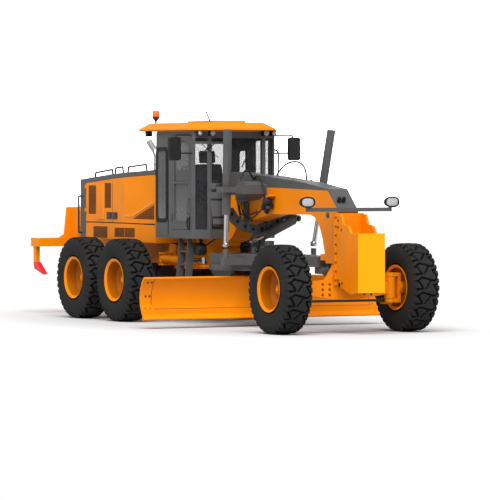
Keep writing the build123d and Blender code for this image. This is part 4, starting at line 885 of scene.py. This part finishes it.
def make_cab_windows():
    seals = Maker()
    seals.band(rounded(1.197, 1.604, 1.612, 2.818, 0.07), rounded(1.262, 1.548, 1.672, 2.758, 0.05),
               "y", CAB_Y - 0.001, CAB_Y + 0.01)
    seals.mirrored()
    seals.band(rounded(-0.6, 0.6, 1.86, 2.96, 0.07), rounded(-0.545, 0.545, 1.915, 2.905, 0.05),
               "x", 1.182, 1.191)
    seals.make("window_seals", seal)
    quarter = Maker()
    quarter.slab(rounded(1.258, 1.552, 1.668, 2.762, 0.05), "y", CAB_Y + 0.0005, CAB_Y + 0.0025)
    quarter.to_side(-1).make("quarter_pane_right", door_pane)
    strip = Maker()
    strip.box(1.616, 1.634, CAB_Y - 0.001, CAB_Y + 0.005, 1.42, 2.98)
    strip.mirrored().make("hinge_post_strips", seal)


def make_cab_doors():
    for side, sign in SIDES:
        bar = Maker()
        bar.box(1.82, 2.36, CAB_Y - 0.012, CAB_Y + 0.004, 2.235, 2.262)
        grip = Maker()
        grip.tube([(2.375, CAB_Y - 0.002, 1.7), (2.372, CAB_Y + 0.03, 1.69),
                   (2.345, CAB_Y + 0.034, 1.61), (2.372, CAB_Y + 0.03, 1.53),
                   (2.375, CAB_Y - 0.002, 1.52)], 0.013, 0.03, 12)
        grip.box(2.355, 2.395, CAB_Y - 0.001, CAB_Y + 0.006, 1.505, 1.715)
        rim = Maker()
        rim.band(rounded(1.815, 2.365, 1.615, 2.945, 0.045),
                 rounded(1.838, 2.342, 1.64, 2.92, 0.03), "y", CAB_Y - 0.02, CAB_Y + 0.003)
        for maker, name, material, bevel in (
                (bar, "bar", cab_grey, 0.003), (grip, "grip", black, 0.0),
                (rim, "rim", cab_grey, 0.002)):
            maker.to_side(sign).make(f"cab_door_{name}_{side}", material, f"cab_door_{side}", bevel)


def make_roof_parts():
    shells = Maker()
    lights = Maker()
    for x, y, half, way in WORK_LAMPS:
        edge = half + 0.003
        for sign in (1, -1):
            shells.box(x - 0.035, x + 0.035, sign * y - edge, sign * y + edge, 2.993, 3.0845)
            lights.turned((x + way * 0.034, sign * y, LAMP_Z), (way, 0, -0.05),
                          [(0.0, half - 0.003), (0.004, half - 0.002), (0.009, half - 0.012),
                           (0.011, 0.004)], 28)
    shells.make("work_lamp_shells", black)
    lights.make("work_lamp_lenses", lens)
    # dark gasket under the roof's edge: its section as a share of the edge's outline and a height
    gasket = Maker()
    section = ((0.997, 3.074), (0.997, 3.0855), (0.96, 3.0855), (0.96, 3.074), (0.997, 3.074))
    gasket.rings([[at(ROOF_MIDDLE_X + (x - ROOF_MIDDLE_X) * share, y * share, z)
                   for x, y in ROOF_EDGE] for share, z in section], closed_ends=False)
    gasket.make("roof_gasket", seal)


def make_cab_fittings():
    wipers = Maker()
    wipers.tube([(2.6, -0.3, 2.955), (2.606, -0.45, 2.84), (2.6, -0.62, 2.735)], 0.009, 0.02, 8)
    wipers.tube([(2.598, -0.33, 2.64), (2.6, -0.5, 2.76), (2.598, -0.66, 2.885)], 0.006, 0.02, 8)
    wipers.tube([(2.6, 0.33, 2.955), (2.606, 0.2, 2.72), (2.6, 0.08, 2.5)], 0.009, 0.02, 8)
    wipers.make("front_wipers", black)
    bar = Maker()
    bar.box(2.615, 2.635, -0.95, -0.27, 2.865, 2.905)
    bar.box(2.6, 2.62, -0.52, -0.47, 2.9, 3.035)
    bar.make("front_rail_right", cab_grey, bevel=0.004)
    grab = Maker()
    grab.tube([(2.3, 0.738, 2.775), (2.3, 0.87, 2.775), (2.3, 0.905, 2.72),
               (2.3, 0.895, 2.26), (2.3, 0.738, 2.24)], 0.014, 0.07, 12)
    grab.make("front_grab_left", cab_grey)
    aerial = Maker()
    aerial.rod(AERIAL_FOOT, AERIAL_TIP, 0.011, 10)
    aerial.turned((2.24, -0.3, 3.205), UP, [(0, 0.022), (0.02, 0.018), (0.03, 0.008)], 16)
    aerial.make("aerial", black)
    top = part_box("cab_roof")[1][2]
    beacon = Maker()
    beacon.turned((BEACON_X, BEACON_Y, top - 0.118), UP, BEACON_LENS, 32)
    beacon.make("beacon_lens", amber)
    foot = Maker()
    foot.turned((BEACON_X, BEACON_Y, top - 0.29), UP, BEACON_FOOT, 32)
    foot.make("beacon_foot", dark)
    silver = surface("mirror_silver", (0.55, 0.57, 0.6), 0.06, metallic=1.0, change=0.05)
    faces = Maker()
    for y in (1.075, -1.075):
        outline = rounded(y - 0.085, y + 0.085, 2.62, 2.96, 0.035)
        faces.slab(outline, "x", 2.466, 2.4745)
    faces.make("mirror_faces", silver)


make_cab_windows()
make_cab_doors()
make_roof_parts()
make_cab_fittings()


# The driver's place: seat, controls, steering wheel and side console

PAD_STEPS = 14
PAD_SIDES = 32
PAD_POWER = 5
SMALLEST_PULL = 0.35
WHEEL_CENTRE = Vector((2.27, 0, 2.24))
WHEEL_SLOPE = Matrix.Rotation(radians(-35), 3, "Y")
STEERING_RADIUS = 0.19


# rounded pad: a stack of squarish outlines that draw in towards its two faces
def make_pad(name, centre, size, tilt):
    long, wide, high = (v / 2 for v in size)
    turn = Matrix.Rotation(radians(tilt), 3, "Y")
    outline = squircle(PAD_SIDES, PAD_POWER)
    rings = []
    for k in range(PAD_STEPS + 1):
        t = -1 + 2 * k / PAD_STEPS
        pull = max((1 - abs(t) ** 4) ** 0.25, SMALLEST_PULL)
        reach_x = long * (0.82 + 0.18 * pull)
        reach_y = wide * (0.86 + 0.14 * pull)
        rings.append([at(*centre) + turn @ Vector((c * reach_x, s * reach_y, t * high))
                      for c, s in outline])
    maker = Maker()
    maker.rings(rings)
    piece = maker.make(name, cloth, smooth=70)


def rim_point(angle):
    return WHEEL_CENTRE + WHEEL_SLOPE @ Vector(
        (STEERING_RADIUS * cos(angle), STEERING_RADIUS * sin(angle), 0))


def make_driver_place():
    base = Maker()
    base.box(1.62, 1.98, -0.24, 0.24, 1.49, 1.62)
    base.box(1.68, 1.92, -0.2, 0.2, 1.62, 1.76)
    base.box(1.6, 2.0, -0.25, 0.25, 1.76, 1.8)
    shown = base.make("seat_base", black, bevel=0.02)
    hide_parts("cab_interior")
    make_pad("seat_cushion", (1.86, 0, 1.87), (0.5, 0.5, 0.13), -4)
    make_pad("seat_back", (1.62, 0, 2.22), (0.14, 0.48, 0.64), -8)
    make_pad("seat_headrest", (1.545, 0, 2.66), (0.1, 0.27, 0.19), -8)
    column = Maker()
    column.tube([(2.42, 0, 1.49), (2.4, 0, 1.9), (2.3, 0, 2.2)], 0.045, 0.2, 16)
    column.box(2.28, 2.52, -0.22, 0.22, 1.49, 1.62)
    for y in (0.33, -0.33):
        column.box(1.66, 2.12, y - 0.06, y + 0.06, 1.92, 2.02)
        column.box(1.8, 1.9, y - 0.04, y + 0.04, 1.49, 1.95)
        for x in even_steps(1.95, 0.045, 4):
            column.rod((x, y, 2.02), (x + 0.01, y, 2.1), 0.008, 10)
    column.make("controls", black, bevel=0.006)
    wheel = Maker()
    loop = [rim_point(a) for a in turns(28)]
    wheel.tube(loop + loop[:1], 0.014, 0.001, 10)
    for degrees in (90, 210, 330):
        wheel.rod(WHEEL_CENTRE, rim_point(radians(degrees)), 0.012, 10)
    wheel.make("steering_wheel", black)
    console = Maker()
    console.box(2.36, 2.4, -0.62, -0.42, 2.28, 2.48)
    console.rod((2.39, -0.52, 1.95), (2.39, -0.52, 2.3), 0.014, 10)
    console.box(2.3, 2.48, -0.66, -0.36, 1.52, 1.96)
    console.make("side_console", dark, bevel=0.008)


make_driver_place()


# Front: head lamps, block bolts, straps, hose guide, yoke blocks, pin caps and couplings

HEAD_LAMP = (6.255, 0.73, 1.975)
# sections of the lens and its rim: distance ahead, half width and half height
LENS_SECTIONS = ((0.0, 0.1, 0.062), (0.008, 0.098, 0.06), (0.014, 0.075, 0.044),
                 (0.017, 0.02, 0.012))
RIM_SECTIONS = ((-0.06, 0.112, 0.072), (-0.004, 0.127, 0.084), (0.012, 0.127, 0.084),
                (0.016, 0.12, 0.077), (0.01, 0.101, 0.063), (-0.002, 0.1, 0.062))
LAMP_SIDES = 36
GUIDE_WAY = (0.62, -0.12, 0.52)
GUIDE_BARREL = [(0, 0.05), (0.012, 0.062), (0.15, 0.062), (0.156, 0.072), (0.205, 0.072),
                (0.215, 0.06), (0.236, 0.045)]
GUIDE_NOZZLE = [(0, 0.034), (0.01, 0.042), (0.13, 0.042), (0.14, 0.03)]
YOKE_NUT = [(0, 0.02), (0.018, 0.02), (0.02, 0.026), (0.038, 0.026), (0.046, 0.014)]
# lock bar under the saddle: its holes stand on an arc below this point
LOCK_BAR = (3.2885, 2.07)
LOCK_RADIUS = 0.55
LOCK_HOLES = (-56, -40, -24, -8, 8, 24, 40, 56)
PUMP_X = 3.381
PUMP_Y = -0.745
PORT = [(0, 0.018), (0.02, 0.018), (0.022, 0.024), (0.04, 0.024), (0.05, 0.012)]
PUMP_RINGS = (
    (1.578, 28, [(-0.01, 0.06), (0.0, 0.078), (0.01, 0.084), (0.03, 0.0845)]),
    (1.7, 36, [(0.0, 0.096), (0.004, 0.099), (0.028, 0.101), (0.032, 0.098)]),
    (1.98, 36, [(0.0, 0.121), (0.004, 0.124), (0.028, 0.126), (0.032, 0.122)]),
)


def make_head_lamps():
    def make_stacks(name, material, sections, power, scale, closed_ends):
        outline = squircle(LAMP_SIDES, power)
        maker = Maker()
        x, out, z = HEAD_LAMP
        for y in (out, -out):
            maker.rings([[at(x + ahead, y + wide * c * scale, z + high * s * scale)
                          for c, s in outline] for ahead, wide, high in sections], closed_ends)
        maker.make(name, material)
    make_stacks("head_lamp_lenses", lens, LENS_SECTIONS, 3, 0.97, True)
    make_stacks("head_lamp_rims", black, RIM_SECTIONS, 2.3, 1.0, False)


def make_nose():
    bolts = Maker()
    for z in even_steps(0.8, 0.135, 8):
        bolts.bolt((6.24, 0.2405, z), (1, 0, 0), 0.013, 0.014)
    for x, z in ((6.3, 1.7), (6.3, 1.6), (6.4, 1.56), (6.3, 0.8), (6.42, 0.76)):
        bolts.bolt((x, 0.2305, z), (0, 1, 0), 0.016, 0.01)
    for z in (0.58, 0.66, 0.74):
        for y in (0.42, 0.3):
            bolts.bolt((6.1605, y, z), (1, 0, 0), 0.016, 0.012)
    bolts.mirrored().make("block_bolts", bolt_steel)
    straps = Maker()
    straps.turned((6.335, 0.226, 0.735), (0, 1, 0), [(0, 0.036), (0.006, 0.036), (0.007, 0.03)], 28)
    straps.slab([(2.9, 1.975), (2.955, 1.975), (3.075, 1.69), (3.02, 1.69)], "y", 0.168, 0.176)
    straps.mirrored().make("neck_straps", black)


def make_beam_fittings():
    guide = Maker()
    guide.turned((3.985, -0.25, 1.86), GUIDE_WAY, GUIDE_BARREL, 32)
    guide.turned((4.075, -0.262, 1.8), GUIDE_WAY, GUIDE_NOZZLE, 28)
    guide.box(3.93, 4.15, -0.255, -0.169, 1.86, 1.93)
    guide.make("hose_guide", black, bevel=0.003)
    bracket = Maker()
    bracket.slab([(4.02, 1.99), (4.22, 2.05), (4.22, 2.075), (4.02, 2.015)], "y", -0.3, -0.169)
    bracket.make("hose_guide_bracket", orange, bevel=0.002)
    yokes = Maker()
    yokes.box(3.765, 3.895, 0.555, 0.69, 2.2225, 2.262)
    for x, y in ((3.8, 0.6), (3.865, 0.64)):
        yokes.turned((x, y, 2.26), UP, YOKE_NUT, 6)
    yokes.mirrored().make("lift_yoke_blocks", cab_grey, bevel=0.003)
    folds = Maker()
    folds.box(6.55, 6.556, 0.23, 0.2325, 0.635, 1.505)
    folds.box(6.8, 6.806, 0.23, 0.2325, 0.64, 1.503)
    folds.mirrored().make("block_side_folds", orange, bevel=0.001)
    caps = Maker()
    caps.rod((5.878, 0.165, 1.777), (5.878, 0.185, 1.777), 0.045, 32)
    caps.bolt((5.878, 0.185, 1.777), (0, 1, 0), 0.018, 0.012)
    caps.mirrored().make("beam_pin_caps", cab_grey, bevel=0.003)
    # painted shade: dark discs stand for the lock bar's holes
    holes = Maker()
    x, z = LOCK_BAR
    for degrees in LOCK_HOLES:
        angle = radians(degrees)
        centre = (x, LOCK_RADIUS * sin(angle), z - LOCK_RADIUS * cos(angle))
        holes.turned(centre, (1, 0, 0), [(0, 0.03), (0.003, 0.03), (0.0035, 0.027)], 24)
    holes.make("lock_bar_holes", seal)


def make_pump_and_couplings():
    drum = Maker()
    drum.turned((2.35, -0.46, 1.19), (0, -1, 0),
                [(0, 0.09), (0.01, 0.1), (0.13, 0.1), (0.15, 0.088), (0.16, 0.04)], 36)
    drum.box(2.335, 2.365, -0.55, -0.51, 1.28, 1.3625)
    drum.make("round_unit_under_cab", black, bevel=0.002)
    pump = Maker()
    for x in (3.2, 3.28, 3.36):
        pump.turned((x, PUMP_Y, 2.245), UP, PORT, 16)
    pump.turned((3.395, PUMP_Y, 2.19), (1, 0, 0),
                [(0, 0.05), (0.02, 0.05), (0.03, 0.035), (0.06, 0.03)], 24)
    for z, sides, profile in PUMP_RINGS:
        pump.turned((PUMP_X, PUMP_Y, z), UP, profile, sides)
    pump.make("pump_fittings", black)
    twin = Maker()
    for y in (-0.1, -0.02):
        twin.turned((6.08, y, 1.985), (0.5, 0, 0.86),
                    [(0, 0.03), (0.03, 0.032), (0.05, 0.028), (0.055, 0.03), (0.07, 0.026)], 20)
    twin.make("nose_couplings", black)


make_head_lamps()
make_nose()
make_beam_fittings()
make_pump_and_couplings()


# Blade: smooth face, end bits, cutting edge bolts and seams

BLADE_MIDDLE = (3.815, 0.47)
FACE_BACK = 0.4055
FACE_RADIUS = 0.3998
SEAM_RADIUS = 0.399
BLADE_HALF = 2.124
END_BIT_Y = 1.935
STRIP_STEP = 3


# point on the blade's hollow face, degrees up from its deepest line, and the way that it faces
def blade_face(degrees, radius, y):
    angle = radians(degrees)
    x, z = BLADE_MIDDLE
    spot = (x - radius * cos(angle), y, z + radius * sin(angle))
    return spot, (cos(angle), 0, -sin(angle))


# smooth strip over the blade's face, a little proud of it
def face_strip(maker, low, high, y0, y1, radius):
    steps = max(2, round((high - low) / STRIP_STEP))
    angles = [low + (high - low) * k / steps for k in range(steps + 1)]
    outline = [blade_face(a, radius, 0)[0] for a in angles]
    outline += [blade_face(a, FACE_BACK, 0)[0] for a in reversed(angles)]
    maker.slab([(x, z) for x, _, z in outline], "y", y0, y1)


def make_blade_details():
    seam = Maker()
    seam.slab([(3.4885, 0.3), (3.4915, 0.3), (3.4915, 0.306), (3.477, 0.306)], "y", -1.93, 1.93)
    for y in (-END_BIT_Y, END_BIT_Y):
        face_strip(seam, -15, 49.5, y - 0.004, y + 0.004, SEAM_RADIUS)
    seam.make("cutting_edge_seam", dark, "moldboard")
    skin = Maker()
    face_strip(skin, -27, 49.8, -BLADE_HALF, BLADE_HALF, FACE_RADIUS)
    skin.make("blade_face", orange, "moldboard")
    bolts = Maker()
    for y in even_steps(-1.86, 0.155, 25):
        bolts.bolt((3.5028, y, 0.195), (1, 0, 0.08), 0.01, 0.005)
    for sign in (1, -1):
        for y in (1.98, 2.07):
            bolts.bolt((3.5165, sign * y, 0.19), (1, 0, 0.2), 0.012, 0.006)
            bolts.bolt((3.466, sign * y, 0.315), (1, 0, 0.4), 0.012, 0.006)
        for degrees, y in ((4.3, 2.034), (4.3, 1.965), (38.0, 2.034), (38.0, 1.965)):
            spot, way = blade_face(degrees, FACE_RADIUS, sign * y)
            bolts.bolt(spot, way, 0.015, 0.009)
    bolts.make("blade_bolts", bolt_steel, "moldboard")


# The centre shift cylinder: a long gland on its barrel, and the rod's inner end, which is
# still in the gland when the blade is at its lowest

CENTRE_BASE = Vector((3.405, 0.64, 1.69))
CENTRE_EYE = Vector((3.405, -0.13, 1.33))
GLAND_BORE = 0.0345
# distance from the base and radius
GLAND_SECTION = ((0.48, GLAND_BORE), (0.48, 0.064), (0.66, 0.064), (0.665, 0.059),
                 (0.665, GLAND_BORE), (0.48, GLAND_BORE))


def make_centre_shift():
    run = (CENTRE_EYE - CENTRE_BASE).normalized()
    side = Vector((1, 0, 0))
    other = run.cross(side)
    gland = Maker()
    gland.rings([[at(*(CENTRE_BASE + run * along + (side * cos(a) + other * sin(a)) * radius))
                  for a in turns(32)] for along, radius in GLAND_SECTION], closed_ends=False)
    gland.make("centre_shift_gland", cab_grey, "centre_shift_barrel")
    stem = Maker()
    stem.rod(CENTRE_BASE + run * 0.215, CENTRE_BASE + run * 0.275, ROD_RADIUS - 0.0005, 24)
    stem.make("centre_shift_rod_end", chrome, "centre_shift_rod")


# Hoses, each held at both ends: name, radius and the points that it is led through

HOSES = (
    ("arc_left", 0.013, [(3.55, 0.12, 2.24), (3.57, 0.22, 2.44), (3.6, 0.38, 2.58),
                         (3.66, 0.55, 2.59), (3.76, 0.62, 2.46), (3.8, 0.6, 2.27)]),
    ("arc_right", 0.013, [(3.46, -0.12, 2.24), (3.5, -0.24, 2.4), (3.62, -0.36, 2.46),
                          (3.74, -0.5, 2.42), (3.8, -0.6, 2.27)]),
    ("guide_a", 0.012, [(3.42, -0.12, 2.24), (3.56, -0.2, 2.38), (3.86, -0.26, 2.34),
                        (4.04, -0.28, 2.16), (4.03, -0.28, 1.97), (4.02, -0.26, 1.89)]),
    ("guide_b", 0.012, [(3.36, -0.18, 1.7), (3.56, -0.3, 1.66), (3.8, -0.34, 1.72),
                        (3.94, -0.28, 1.83), (4.0, -0.26, 1.88)]),
    ("saddle_a", 0.01, [(3.1, -0.17, 2.0), (3.2, -0.26, 1.84), (3.34, -0.22, 1.7),
                        (3.44, -0.18, 1.66)]),
    ("saddle_b", 0.01, [(3.06, -0.17, 2.05), (3.24, -0.32, 1.8), (3.44, -0.3, 1.72),
                        (3.62, -0.18, 1.8)]),
    ("saddle_c", 0.01, [(3.16, 0.17, 2.02), (3.26, 0.3, 1.82), (3.4, 0.34, 1.72),
                        (3.5, 0.18, 1.78)]),
    ("under_cab", 0.012, [(1.7, -0.17, 1.32), (1.95, -0.3, 1.22), (2.2, -0.36, 1.24),
                          (2.42, -0.3, 1.36)]),
    ("under_cab_left", 0.012, [(1.7, 0.17, 1.32), (1.95, 0.3, 1.22), (2.2, 0.36, 1.24),
                               (2.42, 0.3, 1.36)]),
)


def make_hoses():
    for name, radius, points in HOSES:
        curve = bpy.data.curves.new(f"hose_{name}", "CURVE")
        curve.dimensions = "3D"
        curve.bevel_depth = radius
        curve.bevel_resolution = 3
        curve.resolution_u = 10
        spline = curve.splines.new("NURBS")
        spline.points.add(len(points) - 1)
        for target, point in zip(spline.points, points):
            target.co = (*at(*point), 1.0)
        spline.order_u = 3
        spline.use_endpoint_u = True
        curve.materials.append(black)
        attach(new_object(curve.name, curve), "front_frame")


make_blade_details()
make_centre_shift()
make_hoses()
